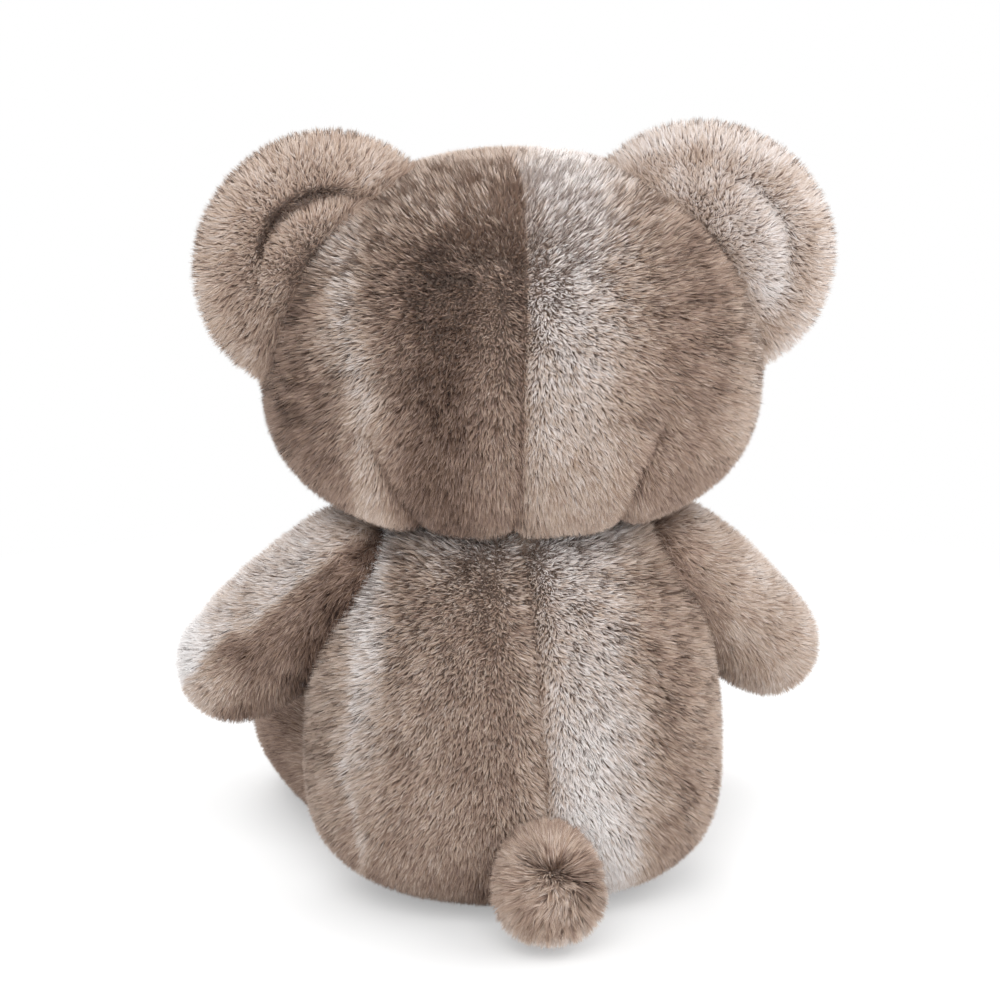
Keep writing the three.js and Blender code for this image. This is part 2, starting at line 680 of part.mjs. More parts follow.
function limbSolids(shape, rootRadius, range, axis) {
  const { root, direction } = shape;
  const torsoRoom = sweptPast(torsoPassing, root, axis, range, TORSO_SWING_COPIES);
  const headRoom = sweptPast(headSweep, root, axis, range, TORSO_SWING_COPIES);
  const rootBall = ball(rootRadius, root, LIMB_BALL_AROUND);
  const form = limbForm(shape, LIMB_AROUND, LIMB_ALONG, LIMB_END_RINGS);
  const outside = joined(cut(solidOf(form), torsoRoom, headRoom, floorBlock), cut(rootBall, headRoom));
  const inward = frameAt(root, direction.clone().negate());
  const insideForm = limbForm(shape, LIMB_AROUND / 2, LIMB_ALONG, LIMB_INSIDE_END_RINGS);
  const inside = insideOf(insideForm, PLUSH_THICKNESS);
  const coreRadius = rootRadius - PLUSH_THICKNESS;
  const openingRadius = rootRadius * OPENING_SHARE;
  const opening = placed(bar(openingRadius, -rootRadius, 2 * rootRadius, BAR_AROUND), inward);
  const hollow = joined(inside.hollow, ball(coreRadius, root, LIMB_BALL_AROUND), opening);
  const fillingCore = ball(coreRadius - GAP, root, LIMB_BALL_AROUND);
  const neckReach = rootRadius * ROOT_NECK_SHARE;
  const fillingNeck = placed(bar(openingRadius - GAP, -neckReach, 0, BAR_AROUND), inward);
  const stuffing = cut(inside.filling, torsoRoom, headRoom);
  return { cover: cut(outside, hollow), filling: joined(stuffing, fillingCore, fillingNeck) };
}

function makeArms() {
  const drop = radians(ARM_DROP_DEG);
  const forward = radians(ARM_FORWARD_DEG);
  const level = Math.cos(drop);
  const direction = new THREE.Vector3(level * Math.cos(forward), -level * Math.sin(forward), -Math.sin(drop));
  const side = UP.clone().addScaledVector(direction, -UP.dot(direction)).normalize();
  const section = (radius) => [radius, radius * ARM_FLATNESS];
  const shape = {
    root: shoulder,
    direction,
    side,
    length: ARM_LENGTH,
    sections: {
      root: section(ARM_ROOT_RADIUS),
      middle: section(ARM_MIDDLE_RADIUS),
      end: section(ARM_PAW_RADIUS),
    },
    rounding: ARM_PAW_RADIUS,
    endSquare: 2,
    onFloor: false,
  };
  const forwardAxis = LEFT.clone().negate();
  const arm = limbSolids(shape, ARM_ROOT_RADIUS, ARM_SWING_DEG, forwardAxis);
  addPair('arm_cover', arm.cover, BROWN_PLUSH, 0.95);
  addPair('arm_filling', arm.filling, FIBRE, 1);
}

function makeLegs() {
  const splay = radians(LEG_SPLAY_DEG);
  const direction = new THREE.Vector3(Math.sin(splay), -Math.cos(splay), 0);
  const side = new THREE.Vector3(Math.cos(splay), Math.sin(splay), 0);
  const shape = {
    root: hip,
    direction,
    side,
    length: LEG_LENGTH,
    sections: {
      root: [LEG_ROOT_RADIUS, LEG_ROOT_RADIUS],
      middle: [LEG_HALF_WIDTH, LEG_HALF_HEIGHT],
      end: [FOOT_HALF_WIDTH, FOOT_HALF_HEIGHT],
    },
    rounding: SOLE_ROUNDING,
    endSquare: 3,
    onFloor: true,
  };
  const liftAxis = LEFT.clone().negate();
  const leg = limbSolids(shape, LEG_ROOT_RADIUS, LEG_SWING_DEG, liftAxis);
  const soleMiddle = hip.clone().addScaledVector(direction, LEG_LENGTH - SOLE_CUT);
  soleMiddle.z = FOOT_HALF_HEIGHT - FLOOR_PRESS;
  const soleFrame = frameAt(soleMiddle, direction);
  const padHalfWidth = FOOT_HALF_WIDTH - FOOT_PAD_MARGIN;
  const padHalfHeight = FOOT_HALF_HEIGHT - FOOT_PAD_MARGIN;
  const padSquash = padHalfHeight / padHalfWidth;
  const pad = bar(padHalfWidth, GAP, GAP + SHORT_PILE_THICKNESS, PAD_AROUND, padSquash);
  const pastSole = placed(bar(LEG_LENGTH, 0, LEG_LENGTH, BAR_AROUND), soleFrame);
  addPair('leg_cover', cut(leg.cover, pastSole), BROWN_PLUSH, 0.95);
  addPair('leg_filling', leg.filling, FIBRE, 1);
  addPair('foot_pad', placed(pad, soleFrame), SHORT_PILE, 0.95);
}

// Tail: a round tuft on the floor behind the bear

function makeTail() {
  const rounding = TAIL_RADIUS * TAIL_ROUND_SHARE;
  const middleRadius = TAIL_RADIUS * TAIL_MIDDLE_SHARE;
  const drop = TAIL_ROOT_HEIGHT - (TAIL_RADIUS - FLOOR_PRESS);
  const droop = Math.asin(drop / (TAIL_LENGTH - rounding));
  const shape = {
    root: tailRoot,
    direction: new THREE.Vector3(0, Math.cos(droop), -Math.sin(droop)),
    side: LEFT.clone().negate(),
    length: TAIL_LENGTH,
    sections: {
      root: [TAIL_ROOT_RADIUS, TAIL_ROOT_RADIUS],
      middle: [middleRadius, middleRadius],
      end: [TAIL_RADIUS, TAIL_RADIUS],
    },
    rounding,
    endSquare: 2,
    onFloor: false,
  };
  const tail = limbSolids(shape, TAIL_ROOT_RADIUS, TAIL_SWING_DEG, LEFT);
  addPiece('tail_cover', tail.cover, BROWN_PLUSH, 0.95);
  addPiece('tail_filling', tail.filling, FIBRE, 1);
}

makeTorso();
makeNeck();
makeHead();
makeMuzzle();
makeEars();
makeArms();
makeLegs();
makeTail();

export default bear;
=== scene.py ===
"""A seated plush teddy bear, seen from behind: stuffed skins with a pile of separate hairs."""
import math

import bmesh
import bpy
import numpy as np
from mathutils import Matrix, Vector


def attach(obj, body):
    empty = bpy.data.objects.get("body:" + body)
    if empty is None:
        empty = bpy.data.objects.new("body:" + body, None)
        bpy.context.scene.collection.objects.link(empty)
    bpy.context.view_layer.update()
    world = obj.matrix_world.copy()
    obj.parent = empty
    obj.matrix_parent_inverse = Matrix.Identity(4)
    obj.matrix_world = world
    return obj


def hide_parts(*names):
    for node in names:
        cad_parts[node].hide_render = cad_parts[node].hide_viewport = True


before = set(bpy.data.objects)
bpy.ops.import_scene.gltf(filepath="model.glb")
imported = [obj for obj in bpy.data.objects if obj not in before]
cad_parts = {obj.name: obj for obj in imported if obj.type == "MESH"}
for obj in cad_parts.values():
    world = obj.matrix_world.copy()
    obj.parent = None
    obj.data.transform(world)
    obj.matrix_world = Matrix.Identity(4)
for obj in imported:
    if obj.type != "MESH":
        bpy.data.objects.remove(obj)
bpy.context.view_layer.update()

MM = 0.001
LEFT, RIGHT = 1, -1
SIDES = {"left": LEFT, "right": RIGHT}

# The bear's sizes in millimetres, as its solids have them
TORSO = {"width": 146, "depth": 120, "below": 46.5, "above": 104, "square_below": 3, "square_above": 2.35}
TORSO_MIDDLE = (0, 0, 46)
HEAD = {"width": 172, "depth": 138, "below": 54.5, "above": 76, "square_below": 2.6, "square_above": 2.2}
HEAD_MIDDLE = (0, -3, 183.5)
MUZZLE = {"width": 62, "depth": 46, "below": 24, "above": 24, "square_below": 2.3, "square_above": 2.3}
MUZZLE_MIDDLE = (0, -70.5, 168.5)
NOSE_HEIGHT, NOSE_HALF_WIDTH, NOSE_HALF_HEIGHT, NOSE_BEHIND = 177, 11, 7.5, -80
EYE_ASIDE, EYE_HEIGHT, EYE_ROOM = 33, 199.5, 7.5
MUZZLE_ROOM = (29, 21)
MUZZLE_WHORL = (0, -95, 180)
NECK = {"width": 68, "depth": 68, "below": 34, "above": 34, "square_below": 2, "square_above": 2}
NECK_MIDDLE = (0, 0, 129)
# How square the bodies and the neck are seen from above, where 2 is an oval
BODY_SECTION, NECK_SECTION = 2.15, 2
SHOULDER, ARM_LENGTH, ARM_DROP, ARM_FORWARD = (53.2, 0, 116), 83, 40, 34
ARM_SECTIONS, ARM_FLATNESS = (21, 21.5, 18.5), 0.9
# How much fuller than its pile's rise alone leaves it each arm's skin is
ARM_FULLNESS = {"left": 3.6, "right": 1.5}
HIP, LEG_LENGTH, LEG_SPLAY = (42, -43, 25.5), 90, 12
LEG_SECTIONS = ((19, 19), (25, 25.5), (24, 31))
TAIL_ROOT, TAIL_LENGTH, TAIL_SECTIONS, TAIL_DROOP = (0, 55.8, 29), 38, (15, 18.4, 20), 28.6
# How far aside the photo's tail sits, and where its hairs part
TAIL_ASIDE = 3.5
TAIL_WHORL = (-5.0, 80, 36)
EAR_MIDDLE, EAR_RADIUS, EAR_THICKNESS, EAR_YAW, EAR_CUP = (64, 4, 224), 46.5, 19, 12, 5
# An ear's crease: its place and half width in shares of the radius, its turn and reach in degrees, its depth
EAR_CREASES = {LEFT: (0.55, 0.07, 65, 48, 3.2), RIGHT: (0.66, 0.07, 20, 45, 1.8)}
# How many points lie round a limb and an ear, and how many rings make a limb's rounded ends and an ear
LIMB_AROUND, LIMB_ROUNDING = 40, 12
EAR_AROUND, EAR_RINGS = 64, 54

# The pile: how far its tips stand above the backing cloth, how long its hairs are, how many of them grow on a
# square millimetre, how wide they are, and how wide their tufts and the dark flecks are
PILE_RISE = 3.6
EAR_PILE_RISE = 4.2
PILE_LENGTH = 4.4
EAR_PILE_LENGTH = 4.8
PILE_DENSITY = 5.4
HAIR_WIDTH = 0.4
TUFT, FLECK = 1.0, 1.2
# How far tufts turn from the pile's lie and from its lean, in radians, and between which angles hairs lean
TUFT_TURN, TUFT_LEAN = 1.4, 0.25
LEAST_LEAN, MOST_LEAN = 0.05, 1.25
# How uneven hairs are, in shares of their length, and how far their tips stray
UNEVEN, STRAY = 0.07, 0.05
# How near a seam hairs are shorter and darker
SEAM_REACH = 2.2
# Hairs grow from this height up, and their tips stay above the other one, so that none is below the floor
LOWEST_ROOT, LOWEST_TIP = 1.0, 0.4
# Where the random draws of each pile start. A left piece adds 1, and a right one takes 1 away.
SEEDS = {"torso": 21, "head": 31, "muzzle": 41, "ear": 51, "arm": 61, "leg": 71, "tail": 81, "foot_pad": 91,
         "ear_lining": 95}
# How far inside a body's sizes the skins lie that are pressed against it
PRESSED = PILE_RISE - 0.5
CLOTH_STEPS = 20
# A distance at which a seam has no effect
FAR = 1e3


# Fields over points, which are rows of x, y and z in millimetres

def unit(vectors):
    return vectors / np.maximum(np.linalg.norm(vectors, axis=-1, keepdims=True), 1e-9)


def mirrored(place, side):
    """A place given for the left side, on either side."""
    return np.array(place, float) * (side, 1, 1)


def smooth(low, high, value):
    share = np.clip((value - low) / (high - low), 0, 1)
    return share * share * (3 - 2 * share)


def scatter(cells, seed):
    """A number from 0 to 1 for each row of whole numbers, the same on every run."""
    x, y, z = (cells & 0xFFFF).T.astype(np.uint64)
    mixed = x * np.uint64(374761393) + y * np.uint64(668265263) + z * np.uint64(2246822519)
    mixed = (mixed + np.uint64(seed * 3266489917 % 4294967296)) & np.uint64(0xFFFFFFFF)
    mixed = ((mixed ^ (mixed >> np.uint64(15))) * np.uint64(2654435761)) & np.uint64(0xFFFFFFFF)
    mixed = ((mixed ^ (mixed >> np.uint64(13))) * np.uint64(2246822519)) & np.uint64(0xFFFFFFFF)
    return ((mixed ^ (mixed >> np.uint64(16))) & np.uint64(0xFFFF)).astype(float) / 65535


def noise(points, grain, seed):
    """Smooth noise from -1 to 1 with grains of that many millimetres."""
    place = points / grain + seed * 7.31
    cell = np.floor(place).astype(np.int64)
    part = place - cell
    part = part * part * (3 - 2 * part)
    total = np.zeros(len(points))
    for corner in range(8):
        step = np.array([corner & 1, corner >> 1 & 1, corner >> 2 & 1])
        total += np.prod(np.where(step, part, 1 - part), axis=1) * (2 * scatter(cell + step, seed) - 1)
    return total


def tufts(points, grain, seed):
    """The middle of the tuft that each point belongs to, and a number from 0 to 1 for each tuft."""
    base = np.floor(points / grain - 0.5).astype(np.int64)
    nearest = np.full(len(points), 1e9)
    middle = np.zeros_like(points)
    mark = np.zeros(len(points))
    for corner in range(8):
        cell = base + np.array([corner & 1, corner >> 1 & 1, corner >> 2 & 1])
        shift = np.stack([scatter(cell, seed + k) for k in range(3)], 1)
        centre = (cell + 0.15 + 0.7 * shift) * grain
        distance = ((points - centre) ** 2).sum(1)
        closer = distance < nearest
        nearest = np.where(closer, distance, nearest)
        middle = np.where(closer[:, None], centre, middle)
        mark = np.where(closer, scatter(cell, seed + 3), mark)
    return middle, mark


def line_distance(points, line):
    """How far flat points are from a line through flat corners."""
    best = np.full(len(points), 1e9)
    for a, b in zip(np.array(line[:-1], float), np.array(line[1:], float)):
        along = b - a
        share = np.clip(((points - a) @ along) / (along @ along), 0, 1)
        best = np.minimum(best, np.linalg.norm(points - a - share[:, None] * along, axis=1))
    return best


# Forms

def ring_form(start, rings, end):
    """Points and faces of rings that close to a point at both ends."""
    count, around = rings.shape[:2]
    points = np.vstack([[start], rings.reshape(-1, 3), [end]])
    last = len(points) - 1
    faces = []
    for j in range(around):
        after = (j + 1) % around
        faces.append((0, 1 + after, 1 + j))
        for i in range(count - 1):
            low, high = 1 + i * around, 1 + (i + 1) * around
            faces.append((low + j, low + after, high + after, high + j))
        faces.append((last, last - around + j, last - around + after))
    return points, faces


def body_form(shape, middle, inward, around=72, along=48, section=BODY_SECTION):
    """A stuffed body about z, widest at one height. inward is how far it lies inside its sizes."""
    angles = math.pi * (np.arange(1, along) / along - 0.5)
    under = angles < 0
    power = 2 / np.where(under, shape["square_below"], shape["square_above"])
    reach = np.where(under, inward - shape["below"], shape["above"] - inward)
    height = np.abs(np.sin(angles)) ** power * reach
    spread = np.cos(angles) ** power
    turn = 2 * math.pi * np.arange(around) / around
    across = np.sign(np.cos(turn)) * np.abs(np.cos(turn)) ** (2 / section) * (shape["width"] / 2 - inward)
    through = np.sign(np.sin(turn)) * np.abs(np.sin(turn)) ** (2 / section) * (shape["depth"] / 2 - inward)
    level = np.outer(height, np.ones(around))
    rings = np.stack([np.outer(spread, across), np.outer(spread, through), level], 2)
    ends = np.array([[0, 0, inward - shape["below"]], [0, 0, shape["above"] - inward]])
    points, faces = ring_form(ends[0], rings, ends[1])
    return points + np.array(middle), faces


def limb_form(root, direction, side, length, sections, rounding, end_square, inward, floor=False, along=20):
    """A limb along a line from its root, whose half width and half height change to its rounded end."""
    through = np.cross(direction, side)
    straight = length - rounding
    turns = math.pi / 2 * np.arange(LIMB_ROUNDING) / LIMB_ROUNDING
    root_reach = min(sections[0]) - inward
    distances = list(-root_reach * np.cos(turns[1:])) + list(straight * np.arange(along) / along)
    shrinks = list(np.sin(turns[1:])) + [1.0] * along
    distances += list(straight + rounding * np.sin(turns) ** (2 / end_square) - inward * (turns > 0))
    shrinks += list(np.cos(turns) ** (2 / end_square))

    def middle_and_halves(distance):
        share = min(max(distance / straight, 0), 1)
        halves = []
        for k in range(2):
            even = sections[0][k] + (sections[2][k] - sections[0][k]) * share
            bulge = sections[1][k] - (sections[0][k] + sections[2][k]) / 2
            halves.append(even + bulge * math.sin(math.pi * share))
        centre = root + direction * distance
        if floor:
            centre[2] = halves[1] - 0.5
        return centre, halves

    turn = 2 * math.pi * np.arange(LIMB_AROUND) / LIMB_AROUND
    rings = []
    for distance, shrink in zip(distances, shrinks):
        centre, (wide, high) = middle_and_halves(distance)
        wide, high = (wide - inward) * shrink, (high - inward) * shrink
        rings.append(centre + np.outer(np.cos(turn), side * wide) + np.outer(np.sin(turn), through * high))
    start, end = middle_and_halves(-root_reach)[0], middle_and_halves(length - inward)[0]
    return ring_form(start, np.array(rings), end)


def ear_crease(side, outward, upward):
    """How deep the crease of an ear's back is, at a place given in shares of the ear's radius."""
    place, spread, turn, reach, depth = EAR_CREASES[side]
    off_turn = np.degrees(np.arctan2(upward, outward)) - turn
    return depth * np.exp(-((np.hypot(outward, upward) - place) / spread) ** 2 - (off_turn / reach) ** 2)


def ear_form(middle, inward):
    """A round ear: a rolled rim, a dish in front and on its back a crease that follows part of the rim."""
    half, radius = EAR_THICKNESS / 2 - inward, EAR_RADIUS - inward
    corners = [(0, -half), (0.3, -half - 1), (0.4, -half - 1), (0.5, -half - 1), (0.6, -half - 0.9),
               (0.7, -half - 0.6), (0.8, -half), (0.9, -half + 0.9), (1, 0), (0.9, half), (0.76, half),
               (0.6, half - 5), (0.3, half - 5), (0, half - 5)]
    shares = np.array([c[0] for c in corners])
    depths = np.array([c[1] for c in corners])
    steps = np.linspace(0, len(corners) - 1, EAR_RINGS)[1:-1]
    every = range(len(corners))
    rings = []
    turn = 2 * math.pi * np.arange(EAR_AROUND) / EAR_AROUND
    side = math.copysign(1, middle[0])
    for r, depth in zip(np.interp(steps, every, shares), np.interp(steps, every, depths)):
        deep = depth + EAR_CUP * r * r
        if depth < 0:
            deep = deep + ear_crease(side, np.cos(turn) * r * side, -np.sin(turn) * r)
        level = np.zeros(EAR_AROUND) + deep
        rings.append(np.stack([np.cos(turn) * r * radius, -np.sin(turn) * r * radius, level], 1))
    points, faces = ring_form((0, 0, depths[0]), np.array(rings), (0, 0, depths[-1]))
    yaw = math.radians(EAR_YAW)
    facing = np.array([math.sin(yaw) * side, -math.cos(yaw), 0])
    across = np.cross([0, 0, 1], facing)
    return points[:, :1] * across + points[:, 1:2] * [0, 0, 1] + points[:, 2:] * facing + middle, faces


# Blender meshes

def object_of(name, points, faces):
    """An object with that mesh, its faces turned outwards."""
    mesh = bpy.data.meshes.new(name)
    mesh.from_pydata((np.asarray(points) * MM).tolist(), [], faces)
    shell = bmesh.new()
    shell.from_mesh(mesh)
    if shell.calc_volume(signed=True) < 0:
        mesh.flip_normals()
    shell.free()
    mesh.update()
    made = bpy.data.objects.new(name, mesh)
    bpy.context.scene.collection.objects.link(made)
    return made


def set_points(mesh, points):
    mesh.vertices.foreach_set("co", (points * MM).astype(np.float32).ravel())
    mesh.update()


def points_of(mesh):
    found = np.empty(len(mesh.vertices) * 3, np.float32)
    mesh.vertices.foreach_get("co", found)
    return found.reshape(-1, 3).astype(float) / MM


def normals_of(mesh):
    found = np.empty(len(mesh.vertices) * 3, np.float32)
    mesh.vertex_normals.foreach_get("vector", found)
    return found.reshape(-1, 3).astype(float)


def settle(made):
    """Gives an object the mesh that its modifiers make."""
    graph = bpy.context.evaluated_depsgraph_get()
    old = made.data
    made.data = bpy.data.meshes.new_from_object(made.evaluated_get(graph), depsgraph=graph)
    made.modifiers.clear()
    made.data.name = made.name
    bpy.data.meshes.remove(old)


def stuff(skins):
    """Fills the skins: cloth under pressure, held at its seams and let out by each skin's swell at most."""
    for made, voxel, swell, seam in skins:
        remesh = made.modifiers.new("even cloth", "REMESH")
        remesh.mode = "VOXEL"
        remesh.voxel_size = voxel * MM
        settle(made)
        held = made.vertex_groups.new(name="seams")
        near = seam(points_of(made.data)) < voxel * 0.8
        for i in np.flatnonzero(near):
            held.add([int(i)], 1.0, "REPLACE")
        cloth = made.modifiers.new("cloth", "CLOTH")
        cloth.settings.quality = 4
        cloth.settings.mass = 0.15
        cloth.settings.tension_stiffness = 8
        cloth.settings.compression_stiffness = 8
        cloth.settings.bending_stiffness = 0.4
        cloth.settings.use_pressure = True
        cloth.settings.uniform_pressure_force = 4
        cloth.settings.effector_weights.gravity = 0
        cloth.settings.vertex_group_mass = "seams"
        cloth.collision_settings.use_collision = False
        cloth.point_cache.frame_start = 1
        cloth.point_cache.frame_end = CLOTH_STEPS
    for step in range(1, CLOTH_STEPS + 1):
        bpy.context.scene.frame_set(step)
    graph = bpy.context.evaluated_depsgraph_get()
    for made, _, swell, _ in skins:
        before = points_of(made.data)
        full = points_of(made.evaluated_get(graph).data)
        moved = full - before
        far = np.linalg.norm(moved, axis=1, keepdims=True)
        moved *= swell * np.tanh(far / swell) / np.maximum(far, 1e-6)
        made.modifiers.clear()
        set_points(made.data, before + moved)
    bpy.context.scene.frame_set(1)
    for made, *_ in skins:
        made.modifiers.new("even out", "SMOOTH").iterations = 3
        made.modifiers.new("finer", "SUBSURF").levels = 1
        settle(made)


def pinch(made, distance, depth, width):
    """Draws a skin in along a seam."""
    points = points_of(made.data)
    drawn = depth * np.exp(-((distance(points) / width) ** 2))
    set_points(made.data, points - normals_of(made.data) * drawn[:, None])


def smooth_faces(made):
    made.data.polygons.foreach_set("use_smooth", np.ones(len(made.data.polygons), bool))


# The pile

def roots_on(made, density, seed):
    """Places and normals spread evenly over a skin."""
    mesh = made.data
    mesh.calc_loop_triangles()
    corners = np.empty(len(mesh.loop_triangles) * 3, np.int32)
    mesh.loop_triangles.foreach_get("vertices", corners)
    corners = corners.reshape(-1, 3)
    points, normals = points_of(mesh), normals_of(mesh)
    a, b, c = (points[corners[:, k]] for k in range(3))
    area = np.linalg.norm(np.cross(b - a, c - a), axis=1) / 2
    rng = np.random.default_rng(seed)
    count = int(area.sum() * density)
    reach = np.cumsum(area)
    chosen = np.searchsorted(reach, (np.arange(count) + rng.random(count)) / count * reach[-1])
    chosen = np.minimum(chosen, len(area) - 1)
    u, v = rng.random(count), rng.random(count)
    u, v = np.where(u + v > 1, 1 - u, u), np.where(u + v > 1, 1 - v, v)
    shares = np.stack([1 - u - v, u, v], 1)[:, :, None]
    return (points[corners[chosen]] * shares).sum(1), unit((normals[corners[chosen]] * shares).sum(1)), rng


def hairs(name, roots, normals, reach, tone, rng, width):
    """One mesh of flat hairs, each tapering from its root along its reach."""
    count = len(roots)
    rise = unit(reach)
    side = unit(np.cross(normals, rise))
    roll = rng.normal(0, 0.5, (count, 1))
    flat = side * np.cos(roll) + np.cross(rise, side) * np.sin(roll)
    half = flat * (width / 2) * rng.uniform(0.7, 1.3, (count, 1))
    points = np.stack([roots + half, roots - half, roots + reach], 1)
    mesh = bpy.data.meshes.new(name)
    mesh.vertices.add(count * 3)
    mesh.vertices.foreach_set("co", (points.reshape(-1, 3) * MM).astype(np.float32).ravel())
    mesh.loops.add(count * 3)
    mesh.loops.foreach_set("vertex_index", np.arange(count * 3, dtype=np.int32))
    mesh.polygons.add(count)
    mesh.polygons.foreach_set("loop_start", np.arange(count, dtype=np.int32) * 3)
    mesh.polygons.foreach_set("use_smooth", np.ones(count, bool))
    mesh.update(calc_edges=True)
    tone = np.repeat(np.clip(tone, 0, 1), 3)
    along = np.tile(np.array([0, 0, 1.0]), count)
    for key, values in (("tone", tone), ("along", along)):
        mesh.attributes.new(key, "FLOAT", "POINT").data.foreach_set("value", values.astype(np.float32))
    rounding = np.repeat(flat, 3, 0) * np.tile([0.25, -0.25, 0], count)[:, None]
    shade = unit(np.repeat(normals + 0.4 * np.cross(rise, flat), 3, 0) + rounding)
    mesh.normals_split_custom_set_from_vertices(shade.tolist())
    swatch = np.stack([0.02 + 0.96 * tone + np.tile([0.004, -0.004, 0], count), 0.02 + 0.96 * along], 1)
    mesh.uv_layers.new(name="OFBake").data.foreach_set("uv", swatch.astype(np.float32).ravel())
    made = bpy.data.objects.new(name, mesh)
    bpy.context.scene.collection.objects.link(made)
    return made


# Materials

def group_of(name, inputs, outputs):
    made = bpy.data.node_groups.new(name, "ShaderNodeTree")
    for label, kind, value in inputs:
        made.interface.new_socket(label, in_out="INPUT", socket_type=kind).default_value = value
    for label, kind in outputs:
        made.interface.new_socket(label, in_out="OUTPUT", socket_type=kind)
    start, end = made.nodes.new("NodeGroupInput"), made.nodes.new("NodeGroupOutput")
    return made, start, end


def ramp_of(nodes, stops):
    ramp = nodes.new("ShaderNodeValToRGB")
    elements = ramp.color_ramp.elements
    while len(elements) < len(stops):
        elements.new(0.5)
    for element, (place, colour) in zip(elements, stops):
        element.position = place
        element.color = (*colour, 1)
    return ramp


def hair_colour_group():
    """The colour of a hair by its tone, which holds its dye and painted shading, darker towards its root."""
    made, start, end = group_of(
        "hair_colour",
        [("Tone", "NodeSocketFloat", 0.5), ("Along", "NodeSocketFloat", 1.0)],
        [("Colour", "NodeSocketColor")],
    )
    nodes, links = made.nodes, made.links
    dye_and_painted_shading = ramp_of(nodes, [
        (0, (0.03, 0.017, 0.013)), (0.12, (0.11, 0.063, 0.046)), (0.22, (0.21, 0.135, 0.094)),
        (0.3, (0.28, 0.195, 0.165)), (0.38, (0.39, 0.268, 0.195)), (0.46, (0.46, 0.345, 0.29)),
        (0.54, (0.56, 0.425, 0.325)), (0.62, (0.64, 0.525, 0.46)), (0.7, (0.73, 0.62, 0.54)),
        (0.79, (0.8, 0.73, 0.705)), (0.88, (0.89, 0.83, 0.795)), (1, (0.97, 0.94, 0.93)),
    ])
    # Darker towards the root: partly the hair's two-tone dye, partly painted shade deep in the pile.
    depth = ramp_of(nodes, [(0, (0.54, 0.49, 0.47)), (0.2, (0.74, 0.7, 0.68)), (0.5, (1, 1, 1))])
    product = nodes.new("ShaderNodeMix")
    product.data_type = "RGBA"
    product.blend_type = "MULTIPLY"
    product.inputs["Factor"].default_value = 1
    links.new(start.outputs["Tone"], dye_and_painted_shading.inputs["Fac"])
    links.new(start.outputs["Along"], depth.inputs["Fac"])
    links.new(dye_and_painted_shading.outputs["Color"], product.inputs["A"])
    links.new(depth.outputs["Color"], product.inputs["B"])
    links.new(product.outputs["Result"], end.inputs["Colour"])
    return made


HAIR_COLOUR = hair_colour_group()


def plain_material(name, roughness, **sockets):
    made = bpy.data.materials.new(name)
    made.use_nodes = True
    shader = made.node_tree.nodes["Principled BSDF"]
    shader.inputs["Roughness"].default_value = roughness
    for label, value in sockets.items():
        shader.inputs[label.replace("_", " ")].default_value = value
    return made, made.node_tree.nodes, made.node_tree.links, shader


def pile_material(name):
    made, nodes, links, shader = plain_material(
        name, 0.8, Specular_IOR_Level=0.2, Sheen_Weight=0.25, Sheen_Roughness=0.45)
    shader.inputs["Sheen Tint"].default_value = (1, 0.93, 0.9, 1)
    tone = nodes.new("ShaderNodeAttribute")
    tone.attribute_name = "tone"
    along = nodes.new("ShaderNodeAttribute")
    along.attribute_name = "along"
    colour = nodes.new("ShaderNodeGroup")
    colour.node_tree = HAIR_COLOUR
    links.new(tone.outputs["Fac"], colour.inputs["Tone"])
    links.new(along.outputs["Fac"], colour.inputs["Along"])
    links.new(colour.outputs["Colour"], shader.inputs["Base Color"])
    return made


def mottled_material(name, dark, pale, grain, roughness, bump=0.0, **sockets):
    """A colour that drifts between two over grains of that many millimetres, and a bump of the same grain."""
    made, nodes, links, shader = plain_material(name, roughness, **sockets)
    place = nodes.new("ShaderNodeTexCoord")
    cloud = nodes.new("ShaderNodeTexNoise")
    cloud.inputs["Scale"].default_value = 1 / (grain * MM)
    cloud.inputs["Detail"].default_value = 4
    ramp = ramp_of(nodes, [(0.3, dark), (0.7, pale)])
    links.new(place.outputs["Object"], cloud.inputs["Vector"])
    links.new(cloud.outputs["Fac"], ramp.inputs["Fac"])
    links.new(ramp.outputs["Color"], shader.inputs["Base Color"])
    if bump:
        relief = nodes.new("ShaderNodeBump")
        relief.inputs["Strength"].default_value = bump
        relief.inputs["Distance"].default_value = grain * MM * 0.3
        links.new(cloud.outputs["Fac"], relief.inputs["Height"])
        links.new(relief.outputs["Normal"], shader.inputs["Normal"])
    return made


def weave_material(name, dark, pale, pitch):
    """Plain woven cloth."""
    made, nodes, links, shader = plain_material(name, 0.9)
    place = nodes.new("ShaderNodeTexCoord")
    heights = []
    for direction in ("X", "Y"):
        wave = nodes.new("ShaderNodeTexWave")
        wave.bands_direction = direction
        wave.inputs["Scale"].default_value = 1 / (pitch * MM * 3.2)
        links.new(place.outputs["Object"], wave.inputs["Vector"])
        heights.append(wave)
    product = nodes.new("ShaderNodeMath")
    product.operation = "MULTIPLY"
    links.new(heights[0].outputs["Fac"], product.inputs[0])
    links.new(heights[1].outputs["Fac"], product.inputs[1])
    ramp = ramp_of(nodes, [(0, dark), (0.6, pale)])
    links.new(product.outputs[0], ramp.inputs["Fac"])
    links.new(ramp.outputs["Color"], shader.inputs["Base Color"])
    relief = nodes.new("ShaderNodeBump")
    relief.inputs["Strength"].default_value = 0.5
    relief.inputs["Distance"].default_value = pitch * MM * 0.3
    links.new(product.outputs[0], relief.inputs["Height"])
    links.new(relief.outputs["Normal"], shader.inputs["Normal"])
    return made
